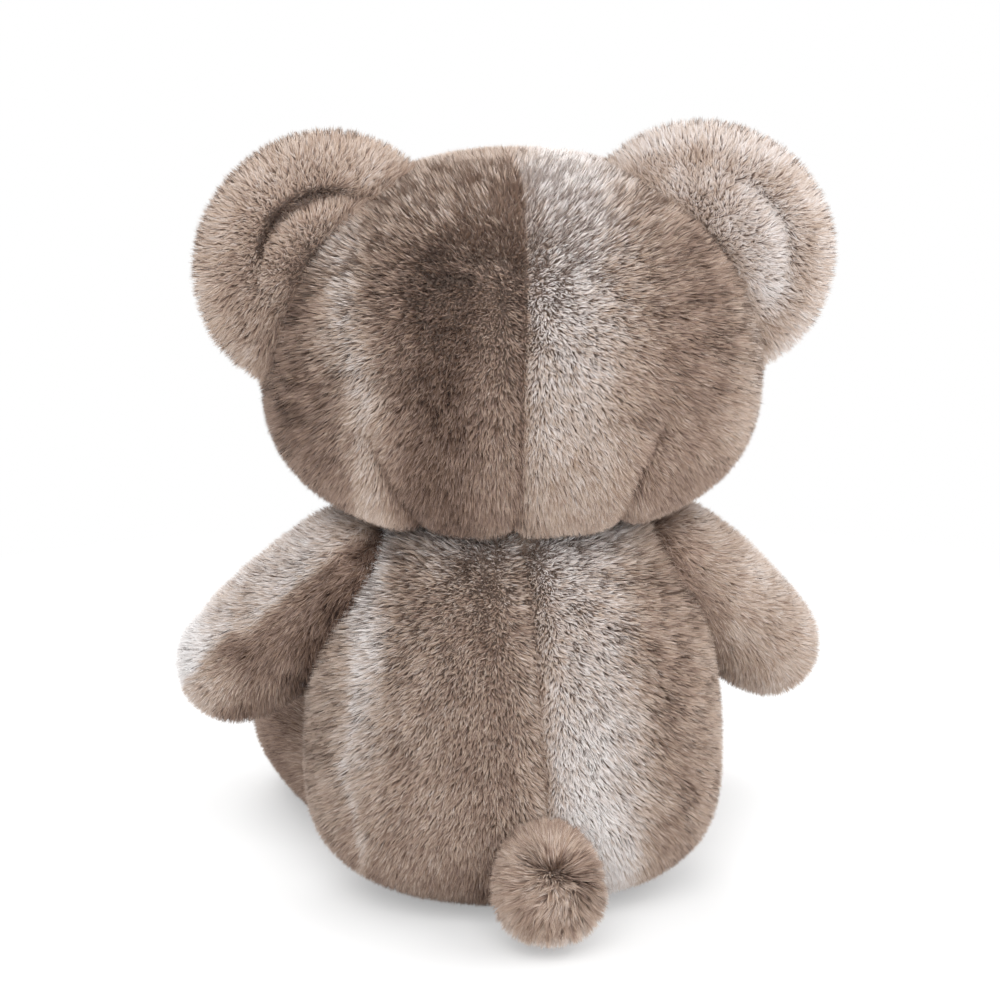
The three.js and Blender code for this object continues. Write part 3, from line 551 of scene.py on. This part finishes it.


# The pile's colour holds its dye and the painted shade and painted light that the tone functions add.
PILE = pile_material("pile_dye_and_painted_shading")
# The backing's dark brown is the pile's root colour and also painted shade, so that gaps in the pile read as
# deep shadow.
BACKING = mottled_material(
    "knitted_backing", (0.15, 0.11, 0.085), (0.24, 0.18, 0.15), grain=2.0, roughness=0.95, bump=0.4)
SHORT_BACKING = mottled_material(
    "short_pile_backing", (0.3, 0.23, 0.19), (0.42, 0.34, 0.29), grain=1.5, roughness=0.95, bump=0.4)
FIBRE = mottled_material(
    "polyester_fibre", (0.75, 0.74, 0.7), (0.9, 0.9, 0.87), grain=1.2, roughness=0.9, bump=0.6)
POUCH_CLOTH = weave_material("pouch_canvas", (0.45, 0.4, 0.33), (0.7, 0.65, 0.57), pitch=0.8)
BLACK_GLOSS = mottled_material(
    "black_eye_plastic", (0.006, 0.004, 0.003), (0.014, 0.009, 0.007), grain=6.0, roughness=0.06,
    Coat_Weight=0.6)
NOSE_GLOSS = mottled_material(
    "nose_plastic", (0.008, 0.006, 0.005), (0.02, 0.014, 0.012), grain=1.0, roughness=0.28, bump=0.25)
WASHER_PLASTIC = mottled_material(
    "washer_plastic", (0.7, 0.69, 0.66), (0.8, 0.79, 0.76), grain=5.0, roughness=0.4, bump=0.05)
THREAD = mottled_material(
    "mouth_thread", (0.012, 0.007, 0.005), (0.05, 0.03, 0.022), grain=0.6, roughness=0.6, bump=0.8)

for node, material in {
    "eye_left": BLACK_GLOSS, "eye_right": BLACK_GLOSS, "nose": NOSE_GLOSS, "nose_washer": WASHER_PLASTIC,
    "eye_washer_left": WASHER_PLASTIC, "eye_washer_right": WASHER_PLASTIC, "mouth_stitching": THREAD,
}.items():
    for material_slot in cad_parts[node].material_slots:
        material_slot.material = material


# Dye of the pile, as a tone from 0 (dark) to 1 (pale), with painted shade and painted light added in places.
# Streaks run up the cloth. Each has its place across the bear's back at its lower and upper height, its half
# width, and how much paler it is there than the cloth round it, at both heights.

TURN = math.radians(7)
HEAD_GROUND, HEAD_HEIGHTS = 0.43, (140, 235)
TORSO_GROUND, TORSO_HEIGHTS = 0.51, (20, 125)
CROWN_TONE = 0.58
# Across the back, where the torso's pile parts and is darkest, and how far the edges of streaks wander
PARTING = -6
WANDER = 4


def across_back(points):
    return -points[:, 0] * math.cos(TURN) + points[:, 1] * math.sin(TURN)


def streaked(points, ground, heights, streaks):
    """Tone of a cloth with streaks, whose edges wander."""
    share = np.clip((points[:, 2] - heights[0]) / (heights[1] - heights[0]), 0, 1)
    place = across_back(points) + WANDER * noise(points, 24, 3) + WANDER * 0.45 * noise(points, 8, 4)
    tone = np.full(len(points), float(ground))
    for lower, upper, half, paler_below, paler_above in streaks.values():
        middle = lower + (upper - lower) * share
        paler = paler_below + (paler_above - paler_below) * share
        tone += paler * np.exp(-np.abs((place - middle) / half) ** 2.6)
    return tone


LEFT_HEAD_STREAKS = {
    "pale_left": (-45, -58, 9, 0.16, 0.3),
    "dark_left": (-78, -84, 14, 0.04, -0.08),
    "brown_left": (-38, -36, 10, -0.02, 0.03),
    "dark_middle": (-22, -24, 15, -0.21, -0.19),
}
RIGHT_HEAD_STREAKS = {
    "pale_middle": (16, 17, 23, 0.08, 0.46),
    "tan_right": (56, 58, 14, -0.05, -0.04),
    "pale_right": (86, 92, 14, 0.2, 0.2),
}
TORSO_STREAKS = {
    "pale_left": (-53, -48, 8, -0.06, 0.42),
    "side_line": (-52, -52, 1.8, 0.2, 0),
    "dark_middle": (-5, -6, 14, -0.1, -0.04),
    "pale_right": (30, 22, 16, 0.46, 0.22),
    "tan_right": (58, 54, 14, -0.07, -0.06),
    "pale_edge": (74, 78, 12, 0.15, 0.05),
}


def past_head_seam(points):
    """How far points lie to the right of the head's middle seam."""
    return np.interp(points[:, 2], [190, 250], [4.5, 0.5]) - points[:, 0]


def head_tone(points):
    """The cloths on both sides of the middle seam have streaks of their own, which blend over the face."""
    left, right = (streaked(points, HEAD_GROUND, HEAD_HEIGHTS, streaks)
                   for streaks in (LEFT_HEAD_STREAKS, RIGHT_HEAD_STREAKS))
    blend = np.where(points[:, 1] > 0, 1.2, 12)
    tone = left + (right - left) * smooth(-1, 1, past_head_seam(points) / blend)
    cheek = smooth(-50, -56, across_back(points)) * smooth(205, 185, points[:, 2])
    crown = smooth(230, 247, points[:, 2]) * (tone < CROWN_TONE)
    return tone + crown * (CROWN_TONE - tone) - 0.12 * cheek


def beside(shape, middle, points, spread):
    """1 on the face of a body, and less further off."""
    return np.exp(-((bulk(shape, middle, points, PILE_RISE) - 1) / spread) ** 2)


def nape(points, spread=0.1):
    """1 where the torso meets the head, and less further off."""
    return beside(HEAD, HEAD_MIDDLE, points, spread)


def torso_tone(points):
    # Painted light: the pile is paler next to the head, most about the parting, in place of the shade the
    # head casts there.
    painted_light_under_head = 0.36 * nape(points, 0.26) * np.exp(-(((across_back(points) - PARTING) / 40) ** 2))
    low = 0.14 * smooth(40, 4, points[:, 2])
    return streaked(points, TORSO_GROUND, TORSO_HEIGHTS, TORSO_STREAKS) + 0.14 * nape(points) + painted_light_under_head - low


def arm_tone(side):
    """One arm is brown with a pale upper side and paw, the other is pale all over, and both have painted
    shade where they meet the torso.
    """
    def tone(points):
        away = points - mirrored(SHOULDER, side)
        along = away @ arm_line(side)
        above = away @ unit(UP - arm_line(side) * arm_line(side)[2])
        # Random drift, and painted shade where the arm meets the torso.
        drift_and_painted_shade = 0.07 * noise(points, 16, 14) - 0.2 * beside(TORSO, TORSO_MIDDLE, points, 0.12)
        if side == LEFT:
            upper = 0.42 * smooth(2.5, 8, above + 3 * noise(points, 10, 16))
            paw = 0.3 * smooth(46, 68, along) * smooth(-15, -5, above)
            return 0.35 + upper + paw + drift_and_painted_shade
        return 0.57 + 0.06 * smooth(0, 12, above) + drift_and_painted_shade
    return tone


def leg_tone(points):
    # Painted shade where the leg meets the torso.
    painted_valley_shade = 0.25 * beside(TORSO, TORSO_MIDDLE, points, 0.15)
    return 0.34 + 0.1 * noise(points, 18, 15) + 0.2 * smooth(-80, -125, points[:, 1]) - painted_valley_shade


def tail_tone(points):
    return 0.46 + 0.08 * noise(points, 9, 8) + 0.3 * smooth(17, 7, points[:, 2])


def short_pile_tone(points):
    return 0.74 + 0.06 * noise(points, 9, 2)


def speckle(tone, points, mark, seed, rng, flecks):
    """Hairs vary a little, tufts of them vary together, and some tufts are left dark."""
    varied = tone + rng.normal(0, 0.08, len(tone)) + 0.13 * (mark - 0.5)
    varied = varied + 0.05 * noise(points, 3, 11) + 0.05 * noise(points, 8, 12)
    fleck = smooth(0.82, 0.88, tufts(points, FLECK, seed + 20)[1]) * smooth(-0.5, 0.3, noise(points, 7, 13))
    return varied - flecks * fleck * (0.16 - 0.04 * tone)


def turned(lie, normals, angle):
    """The lie of the pile, turned about the skin's normal."""
    side = np.cross(normals, lie)
    return lie * np.cos(angle)[:, None] + side * np.sin(angle)[:, None]


def along_skin(vectors, normals):
    return vectors - normals * (vectors * normals).sum(1, keepdims=True)


def grow(skin, body, name, tone, lie, hidden, seed, length=PILE_LENGTH, density=PILE_DENSITY, lean=0.33,
         ruffle=0.4, panels=None, width=HAIR_WIDTH, near_seam=None, gather=0.18,
         tuft=TUFT, flecks=1.0):
    """Grows the pile of a skin, in one piece for each of its panels, which rides with the skin's body."""
    roots, normals, rng = roots_on(skin, density, seed)
    keep = ~hidden(roots) & (roots[:, 2] > LOWEST_ROOT)
    roots, normals = roots[keep], normals[keep]
    middle, mark = tufts(roots, tuft, seed)
    combed = unit(along_skin(lie(roots), normals))
    astray = ruffle * noise(roots, 12, seed) + 0.5 * noise(roots, 4, seed + 1)
    combed = turned(combed, normals, astray + TUFT_TURN * (np.modf(mark * 7.3)[0] - 0.5))
    leans = lean(roots) if callable(lean) else lean
    leans = leans + 0.1 * noise(roots, 6, seed + 6) + TUFT_LEAN * (np.modf(mark * 3.7)[0] - 0.5)
    leans = np.clip(leans, LEAST_LEAN, MOST_LEAN)[:, None]
    length = length(roots) if callable(length) else length
    uneven = 1 + 0.05 * noise(roots, 5, seed + 5) + rng.normal(0, UNEVEN, len(roots))
    tall = length * (uneven - 0.15 * smooth(0.7, 1, mark))
    # The tone holds the dye, and painted shade and painted light where the tone functions add them.
    dye_and_painted_shading = speckle(tone(roots), roots, mark, seed, rng, flecks)
    if near_seam is not None:
        close = np.exp(-((near_seam(roots) / SEAM_REACH) ** 2))
        tall = tall * (1 - 0.25 * close)
        dye_and_painted_shading = dye_and_painted_shading - close * (0.13 + 0.1 * noise(roots, 7, seed + 7))
    reach = (normals * np.cos(leans) + combed * np.sin(leans)) * np.maximum(tall, 1.0)[:, None]
    reach += gather * along_skin(middle - roots, normals)
    reach += rng.normal(0, STRAY, roots.shape) * tall[:, None]
    reach[:, 2] = np.maximum(reach[:, 2], LOWEST_TIP - roots[:, 2])
    for label, inside in (panels or {"": lambda p: np.ones(len(p), bool)}).items():
        part = inside(roots)
        made = hairs(f"{name}_pile{label}", roots[part], normals[part], reach[part], dye_and_painted_shading[part], rng, width)
        made.data.materials.append(PILE)
        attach(made, body)


def finish_skin(skin, body, nodes, material=BACKING):
    smooth_faces(skin)
    skin.data.materials.append(material)
    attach(skin, body)
    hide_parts(*nodes)


# Seams, as how far points are from them

def back_only(points, distance):
    return np.where(points[:, 1] > 0, distance, FAR)


def head_seams(points):
    flat = np.stack([across_back(points), points[:, 2]], 1)
    darts = [[(-47, 176), (-41, 160), (-31, 142), (-26, 134)], [(49, 177), (44, 166), (38, 149), (35, 138)]]
    middle = np.abs(past_head_seam(points)) + 3 * smooth(215, 245, points[:, 2])
    return back_only(points, np.minimum.reduce([middle] + [line_distance(flat, dart) for dart in darts]))


def torso_seams(points):
    middle = np.abs(points[:, 0] - np.interp(points[:, 2], [20, 60, 130], [-5, -4, 1]))
    return back_only(points, middle)


def no_seam(points):
    return np.full(len(points), FAR)


# Where the bear's bulk is: below 1 inside a form that lies inward of its sizes

def bulk(shape, middle, points, inward):
    away = points - np.array(middle)
    across = np.abs(away[:, 0]) / (shape["width"] / 2 - inward)
    through = np.abs(away[:, 1]) / (shape["depth"] / 2 - inward)
    flat = (across ** BODY_SECTION + through ** BODY_SECTION) ** (1 / BODY_SECTION)
    under = away[:, 2] < 0
    power = np.where(under, shape["square_below"], shape["square_above"])
    high = np.abs(away[:, 2]) / np.where(under, shape["below"] - inward, shape["above"] - inward)
    return (flat ** power + high ** power) ** (1 / power)


def in_torso(points, inward):
    return bulk(TORSO, TORSO_MIDDLE, points, inward) < 1


def in_head(points, inward):
    return bulk(HEAD, HEAD_MIDDLE, points, inward) < 1


def press_on(made, shape, middle, inward):
    """Flattens a skin where it meets a stuffed body."""
    points = points_of(made.data)
    depth = bulk(shape, middle, points, inward)
    pressed = np.array(middle) + (points - np.array(middle)) / np.maximum(depth, 0.05)[:, None]
    set_points(made.data, np.where((depth < 1)[:, None], pressed, points))


# Skins

UP = np.array([0.0, 0, 1])


def arm_line(side):
    drop, forward = math.radians(ARM_DROP), math.radians(ARM_FORWARD)
    level = math.cos(drop)
    return np.array([side * level * math.cos(forward), -level * math.sin(forward), -math.sin(drop)])


def arm_skin(name, side):
    direction = arm_line(side)
    upward = unit(UP - direction * direction[2])
    sections = [(r, r * ARM_FLATNESS) for r in ARM_SECTIONS]
    root = mirrored(SHOULDER, side)
    inward = PILE_RISE - ARM_FULLNESS[name]
    form = limb_form(root, direction, upward * side, ARM_LENGTH, sections, rounding=ARM_SECTIONS[2],
                     end_square=2, inward=inward)
    return object_of(f"arm_skin_{name}", *form)


def leg_skin(name, side):
    splay = math.radians(LEG_SPLAY)
    direction = np.array([side * math.sin(splay), -math.cos(splay), 0])
    across = np.array([math.cos(splay), side * math.sin(splay), 0])
    root = mirrored(HIP, side)
    form = limb_form(root, direction, across, LEG_LENGTH, LEG_SECTIONS, rounding=12, end_square=3,
                     inward=PILE_RISE * 0.8, floor=True)
    return object_of(f"leg_skin_{name}", *form)


def tail_skin():
    droop = math.radians(TAIL_DROOP)
    direction = np.array([0, math.cos(droop), -math.sin(droop)])
    sections = [(r, r) for r in TAIL_SECTIONS]
    root = np.array(TAIL_ROOT, float) - (TAIL_ASIDE, 0, 0)
    across = np.array([-1.0, 0, 0])
    form = limb_form(root, direction, across, TAIL_LENGTH, sections, rounding=18, end_square=2,
                     inward=PILE_RISE * 1.1, along=8)
    return object_of("tail_skin", *form)


def on_floor(made):
    points = points_of(made.data)
    points[:, 2] = np.maximum(points[:, 2], 0)
    set_points(made.data, points)


torso_skin = object_of("torso_skin", *body_form(TORSO, TORSO_MIDDLE, PILE_RISE))
head_skin = object_of("head_skin", *body_form(HEAD, HEAD_MIDDLE, PILE_RISE))
arm_skins = {name: arm_skin(name, side) for name, side in SIDES.items()}
leg_skins = {name: leg_skin(name, side) for name, side in SIDES.items()}
tail = tail_skin()
# Each skin with the width of its cloth's cells and the most that it swells, in millimetres, and its seams
to_stuff = [(torso_skin, 5, 1.5, torso_seams), (head_skin, 5, 1.5, head_seams), (tail, 4, 0.8, no_seam)]
to_stuff += [(skin, 4, 0.8, no_seam) for skin in (*arm_skins.values(), *leg_skins.values())]
stuff(to_stuff)
for skin in (torso_skin, tail, *leg_skins.values()):
    on_floor(skin)
press_on(torso_skin, HEAD, HEAD_MIDDLE, PILE_RISE + 2.8)
for skin in (tail, *arm_skins.values(), *leg_skins.values()):
    press_on(skin, TORSO, TORSO_MIDDLE, PRESSED)
pinch(head_skin, head_seams, depth=2.2, width=4.0)
pinch(torso_skin, torso_seams, depth=2.6, width=4.2)

# Torso

QUARTERS = {
    "_back_left": lambda p: (p[:, 0] >= 0) & (p[:, 1] >= 0),
    "_back_right": lambda p: (p[:, 0] < 0) & (p[:, 1] >= 0),
    "_front_left": lambda p: (p[:, 0] >= 0) & (p[:, 1] < 0),
    "_front_right": lambda p: (p[:, 0] < 0) & (p[:, 1] < 0),
}
finish_skin(torso_skin, "torso", ["torso_cover"])


def torso_lie(points):
    aside = -np.sign(across_back(points) - PARTING) * 0.25
    return np.stack([aside, np.zeros(len(points)), np.full(len(points), -1.0)], 1)


grow(torso_skin, "torso", "torso", torso_tone, torso_lie, lambda p: in_head(p, PILE_RISE + 1), SEEDS["torso"],
     panels=QUARTERS, near_seam=torso_seams, length=lambda p: PILE_LENGTH * (1 + 0.8 * nape(p)))

# Neck

neck_skin = object_of("neck_skin", *body_form(
    NECK, NECK_MIDDLE, inward=0, around=40, along=24, section=NECK_SECTION))
finish_skin(neck_skin, "neck", ["neck_filling"])

# Head

finish_skin(head_skin, "head", ["head_cover"])


def head_lie(points):
    aside = np.where(past_head_seam(points) > 0, -0.5, 0.35)
    return np.stack([aside * (points[:, 1] > -20), np.zeros(len(points)), np.full(len(points), -1.0)], 1)


def under_face(points):
    """Where the muzzle and the eyes sit."""
    off_muzzle = np.hypot(points[:, 0] / MUZZLE_ROOM[0], (points[:, 2] - MUZZLE_MIDDLE[2]) / MUZZLE_ROOM[1])
    eyes = [np.hypot(points[:, 0] - EYE_ASIDE * side, points[:, 2] - EYE_HEIGHT) for side in SIDES.values()]
    return (points[:, 1] < 0) & ((off_muzzle < 1) | (np.minimum(*eyes) < EYE_ROOM))


grow(head_skin, "head", "head", head_tone, head_lie, lambda p: under_face(p) | in_torso(p, PILE_RISE + 0.3),
     SEEDS["head"], panels=QUARTERS, near_seam=head_seams)

# Muzzle

muzzle_points, muzzle_faces = body_form(MUZZLE, (0, 0, 0), inward=3.0, around=48, along=32)
muzzle_points = muzzle_points[:, [0, 2, 1]] * (1, -1, 1) + MUZZLE_MIDDLE
muzzle_skin = object_of("muzzle_skin", muzzle_points, muzzle_faces)
finish_skin(muzzle_skin, "head", ["muzzle_cover"], SHORT_BACKING)


def muzzle_lie(points):
    return unit(points - MUZZLE_WHORL) + (0, 0.8, 0)


def under_nose(points):
    off_nose = np.hypot(points[:, 0] / NOSE_HALF_WIDTH, (points[:, 2] - NOSE_HEIGHT) / NOSE_HALF_HEIGHT)
    return (off_nose < 1) & (points[:, 1] < NOSE_BEHIND)


grow(muzzle_skin, "head", "muzzle", lambda p: 0.72 + 0.08 * noise(p, 10, 5), muzzle_lie,
     lambda p: in_head(p, 6) | under_nose(p), SEEDS["muzzle"], length=4.0, lean=0.75,
     gather=0.3)

# Ears


def ear_tone(side):
    """One ear is brown with painted shade in its crease, the other is pale with painted shade in its fold and
    under its lower rim, and both have painted shade where they meet the head.
    """
    def tone(points):
        away = points - mirrored(EAR_MIDDLE, side)
        rim = np.hypot(away[:, 0], away[:, 2]) / EAR_RADIUS
        top = smooth(5, 40, away[:, 2])
        # Painted shade where the ear meets the head.
        painted_valley_shade = 0.14 * beside(HEAD, HEAD_MIDDLE, points, 0.06)
        if side == LEFT:
            # Painted shade in the crease.
            painted_crease_shade = 0.05 * ear_crease(side, away[:, 0] / EAR_RADIUS, away[:, 2] / EAR_RADIUS)
            pale = 0.04 * smooth(0.45, 0.9, rim) + 0.02 * top * smooth(0.5, 0.85, rim)
            return 0.53 + pale + 0.06 * noise(points, 12, 6) - painted_valley_shade - painted_crease_shade
        # Painted shade in the fold and under the lower rim.
        painted_fold_shade = 0.12 * np.exp(-((rim - 0.72) / 0.08) ** 2)
        painted_fold_shade = painted_fold_shade + 0.08 * smooth(0.8, 1, rim) * smooth(15, -15, away[:, 2])
        return 0.76 - painted_fold_shade + 0.08 * noise(points, 12, 7) - painted_valley_shade
    return tone


def ear_lie(side):
    return lambda points: unit(points - mirrored(EAR_MIDDLE, side) + (side * 4, 0, 4))


def under_lining(middle, lining):
    """Where an ear has no pile: under its lining, whose edge follows the head, and deep in the head."""
    edge = bulk(HEAD, HEAD_MIDDLE, lining, 0).min()

    def hidden(points):
        near = np.hypot(points[:, 0] - middle[0], points[:, 2] - middle[2]) < EAR_RADIUS * 0.56
        off_head = bulk(HEAD, HEAD_MIDDLE, points, 0) > edge
        return in_head(points, PILE_RISE + 0.5) | near & off_head & (points[:, 1] < middle[1] - 1)
    return hidden


for name, side in SIDES.items():
    middle = mirrored(EAR_MIDDLE, side)
    ear_skin = object_of(f"ear_skin_{name}", *ear_form(middle, EAR_PILE_RISE))
    press_on(ear_skin, HEAD, HEAD_MIDDLE, PRESSED)
    finish_skin(ear_skin, f"ear_{name}", [f"ear_{name}"])
    hidden = under_lining(middle, points_of(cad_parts[f"ear_lining_{name}"].data))
    grow(ear_skin, f"ear_{name}", f"ear_{name}", ear_tone(side), ear_lie(side), hidden, SEEDS["ear"] + side,
         length=EAR_PILE_LENGTH, lean=0.5, flecks=0.3, gather=0.12, width=HAIR_WIDTH * 0.85,
         density=PILE_DENSITY * 1.25)

# Arms


def arm_lie(side):
    return lambda points: np.tile(arm_line(side), (len(points), 1)) + [0, 0, -0.25]


def arm_lean(side):
    """The pile lies flatter round the shoulder."""
    return lambda points: 0.33 + 0.8 * smooth(4, -12, (points - mirrored(SHOULDER, side)) @ arm_line(side))


def on_torso(points):
    """Where a limb or the tail lies against the torso and has no pile."""
    return in_torso(points, PILE_RISE - 1)


for name, side in SIDES.items():
    skin = arm_skins[name]
    finish_skin(skin, f"arm_{name}", [f"arm_cover_{name}"])
    grow(skin, f"arm_{name}", f"arm_{name}", arm_tone(side), arm_lie(side), on_torso, SEEDS["arm"] + side,
         lean=arm_lean(side))

# Legs


def leg_lie(side):
    return lambda points: np.tile([side * 0.2, -1.0, -0.35], (len(points), 1))


for name, side in SIDES.items():
    skin = leg_skins[name]
    finish_skin(skin, f"leg_{name}", [f"leg_cover_{name}"])
    grow(skin, f"leg_{name}", f"leg_{name}", leg_tone, leg_lie(side), on_torso, SEEDS["leg"] + side)

# Tail

finish_skin(tail, "tail", ["tail_cover"])


def tail_lie(points):
    return unit(points - TAIL_WHORL)


def tail_lean(points):
    """The pile stands up at its whorl and lies flatter round it."""
    return 0.3 + 0.4 * smooth(3, 14, np.linalg.norm(points - TAIL_WHORL, axis=1))


grow(tail, "tail", "tail", tail_tone, tail_lie, on_torso, SEEDS["tail"],
     length=lambda p: 6.4 - 2.4 * smooth(16, 4, p[:, 2]), lean=tail_lean, ruffle=0.5, gather=0.3, tuft=1.6,
     density=PILE_DENSITY * 1.6)

# Stuffing and the pellet pouch


def solid_copy(node, name):
    """An object with the mesh of a solid, and no material."""
    made = bpy.data.objects.new(name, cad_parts[node].data.copy())
    made.data.materials.clear()
    bpy.context.scene.collection.objects.link(made)
    return made


def filling(node, body, material, bulge, seed):
    """A soft piece inside a skin, which fills its solid and bulges a little beyond it."""
    made = solid_copy(node, f"{node}_stuffed")
    weld = made.modifiers.new("joined corners", "WELD")
    weld.merge_threshold = 0.02 * MM
    finer = made.modifiers.new("finer", "SUBSURF")
    finer.subdivision_type = "SIMPLE"
    finer.levels = 1
    settle(made)
    points = points_of(made.data)
    out = bulge * (0.5 + 0.5 * noise(points, 14, seed))
    set_points(made.data, points + normals_of(made.data) * out[:, None])
    finish_skin(made, body, [node], material)


for seed, (node, body) in enumerate({
    "torso_filling": "torso", "head_filling": "head", "muzzle_filling": "head", "tail_filling": "tail",
    "arm_filling_left": "arm_left", "arm_filling_right": "arm_right",
    "leg_filling_left": "leg_left", "leg_filling_right": "leg_right",
}.items()):
    filling(node, body, FIBRE, bulge=0.3, seed=seed)
filling("pellet_pouch", "torso", POUCH_CLOTH, bulge=0.15, seed=9)

# Ear linings and foot pads


def downwards(points):
    return np.tile([0.0, 0.0, -1.0], (len(points), 1))


def padded_copy(part, side_name, body, seed):
    """A crowned pad with the shape of its solid, and its short pile."""
    node = f"{part}_{side_name}"
    made = solid_copy(node, f"{part}_skin_{side_name}")
    edges = made.modifiers.new("even cloth", "REMESH")
    edges.mode = "VOXEL"
    edges.voxel_size = 0.9 * MM
    made.modifiers.new("soft edge", "SMOOTH").iterations = 6
    settle(made)
    finish_skin(made, body, [node], SHORT_BACKING)
    grow(made, body, node, short_pile_tone, downwards, lambda p: np.zeros(len(p), bool), seed, length=2.4,
         lean=0.7, width=HAIR_WIDTH * 0.8, gather=0.2)


for name, side in SIDES.items():
    padded_copy("foot_pad", name, f"leg_{name}", SEEDS["foot_pad"] + side)
    padded_copy("ear_lining", name, f"ear_{name}", SEEDS["ear_lining"] + side)

# Floor, light and camera


def white_floor():
    """A white floor that keeps the bear's soft shadow and runs out into the white room."""
    reach = 4000
    corners = [(-reach, -reach, 0), (reach, -reach, 0), (reach, reach, 0), (-reach, reach, 0)]
    floor = object_of("floor", corners, [(0, 1, 2, 3)])
    made, nodes, links, shader = plain_material("white_floor", 0.9, Specular_IOR_Level=0.0)
    shader.inputs["Base Color"].default_value = (0.92, 0.92, 0.92, 1)
    place, path = nodes.new("ShaderNodeTexCoord"), nodes.new("ShaderNodeLightPath")
    far, glow = nodes.new("ShaderNodeVectorMath"), nodes.new("ShaderNodeMapRange")
    far.operation = "LENGTH"
    glow.inputs["From Min"].default_value = 0.15
    glow.inputs["From Max"].default_value = 0.45
    glow.inputs["To Min"].default_value = 0.35
    seen, both = nodes.new("ShaderNodeMath"), nodes.new("ShaderNodeMixShader")
    white = nodes.new("ShaderNodeEmission")
    seen.operation = "MULTIPLY"
    links.new(place.outputs["Object"], far.inputs[0])
    links.new(far.outputs["Value"], glow.inputs["Value"])
    links.new(glow.outputs["Result"], seen.inputs[0])
    links.new(path.outputs["Is Camera Ray"], seen.inputs[1])
    links.new(seen.outputs["Value"], both.inputs["Fac"])
    links.new(shader.outputs["BSDF"], both.inputs[1])
    links.new(white.outputs["Emission"], both.inputs[2])
    links.new(both.outputs["Shader"], nodes["Material Output"].inputs["Surface"])
    floor.data.materials.append(made)


def daylight(strength):
    """Even white light from all round, and plain white behind the bear."""
    world = bpy.data.worlds.new("white_room")
    bpy.context.scene.world = world
    world.use_nodes = True
    nodes, links = world.node_tree.nodes, world.node_tree.links
    nodes.clear()
    seen, lit = nodes.new("ShaderNodeBackground"), nodes.new("ShaderNodeBackground")
    seen.inputs["Strength"].default_value = 1.0
    seen.inputs["Color"].default_value = (1, 1, 1, 1)
    lit.inputs["Strength"].default_value = strength
    lit.inputs["Color"].default_value = (1, 1, 1, 1)
    path, both = nodes.new("ShaderNodeLightPath"), nodes.new("ShaderNodeMixShader")
    out = nodes.new("ShaderNodeOutputWorld")
    links.new(path.outputs["Is Camera Ray"], both.inputs["Fac"])
    links.new(lit.outputs["Background"], both.inputs[1])
    links.new(seen.outputs["Background"], both.inputs[2])
    links.new(both.outputs["Shader"], out.inputs["Surface"])


def softbox(name, place, size, watts):
    light = bpy.data.lights.new(name, "AREA")
    light.size = size
    light.energy = watts
    made = bpy.data.objects.new(name, light)
    made.location = place
    bear_middle = Vector((0, 0, 0.13))
    made.rotation_euler = (bear_middle - Vector(place)).to_track_quat("-Z", "Y").to_euler()
    bpy.context.scene.collection.objects.link(made)


def photo_camera():
    """Behind the bear, a little to its left and above, as the photograph was taken."""
    azimuth, elevation, distance, frame_width = math.radians(173), math.radians(16), 2.0, 0.35
    aside, aloft = -0.0045, 0.1327
    level = math.cos(elevation)
    back = Vector((math.sin(azimuth) * level, -math.cos(azimuth) * level, math.sin(elevation)))
    turn = (-back).to_track_quat("-Z", "Y")
    right, up = turn @ Vector((1, 0, 0)), turn @ Vector((0, 1, 0))
    camera = bpy.data.cameras.new("photo_camera")
    camera.lens = camera.sensor_width * distance / frame_width
    made = bpy.data.objects.new("photo_camera", camera)
    made.rotation_mode = "QUATERNION"
    made.rotation_quaternion = turn
    made.location = right * aside + up * aloft + back * distance
    bpy.context.scene.collection.objects.link(made)
    bpy.context.scene.camera = made


white_floor()
daylight(strength=0.8)
softbox("back_softbox", (0.35, 1.4, 1.3), size=1.4, watts=22)
softbox("side_softbox", (-1.2, 0.7, 1.0), size=1.4, watts=12)
softbox("front_softbox", (0.3, -1.5, 1.2), size=1.4, watts=20)
photo_camera()
bpy.context.scene.view_settings.view_transform = "Standard"
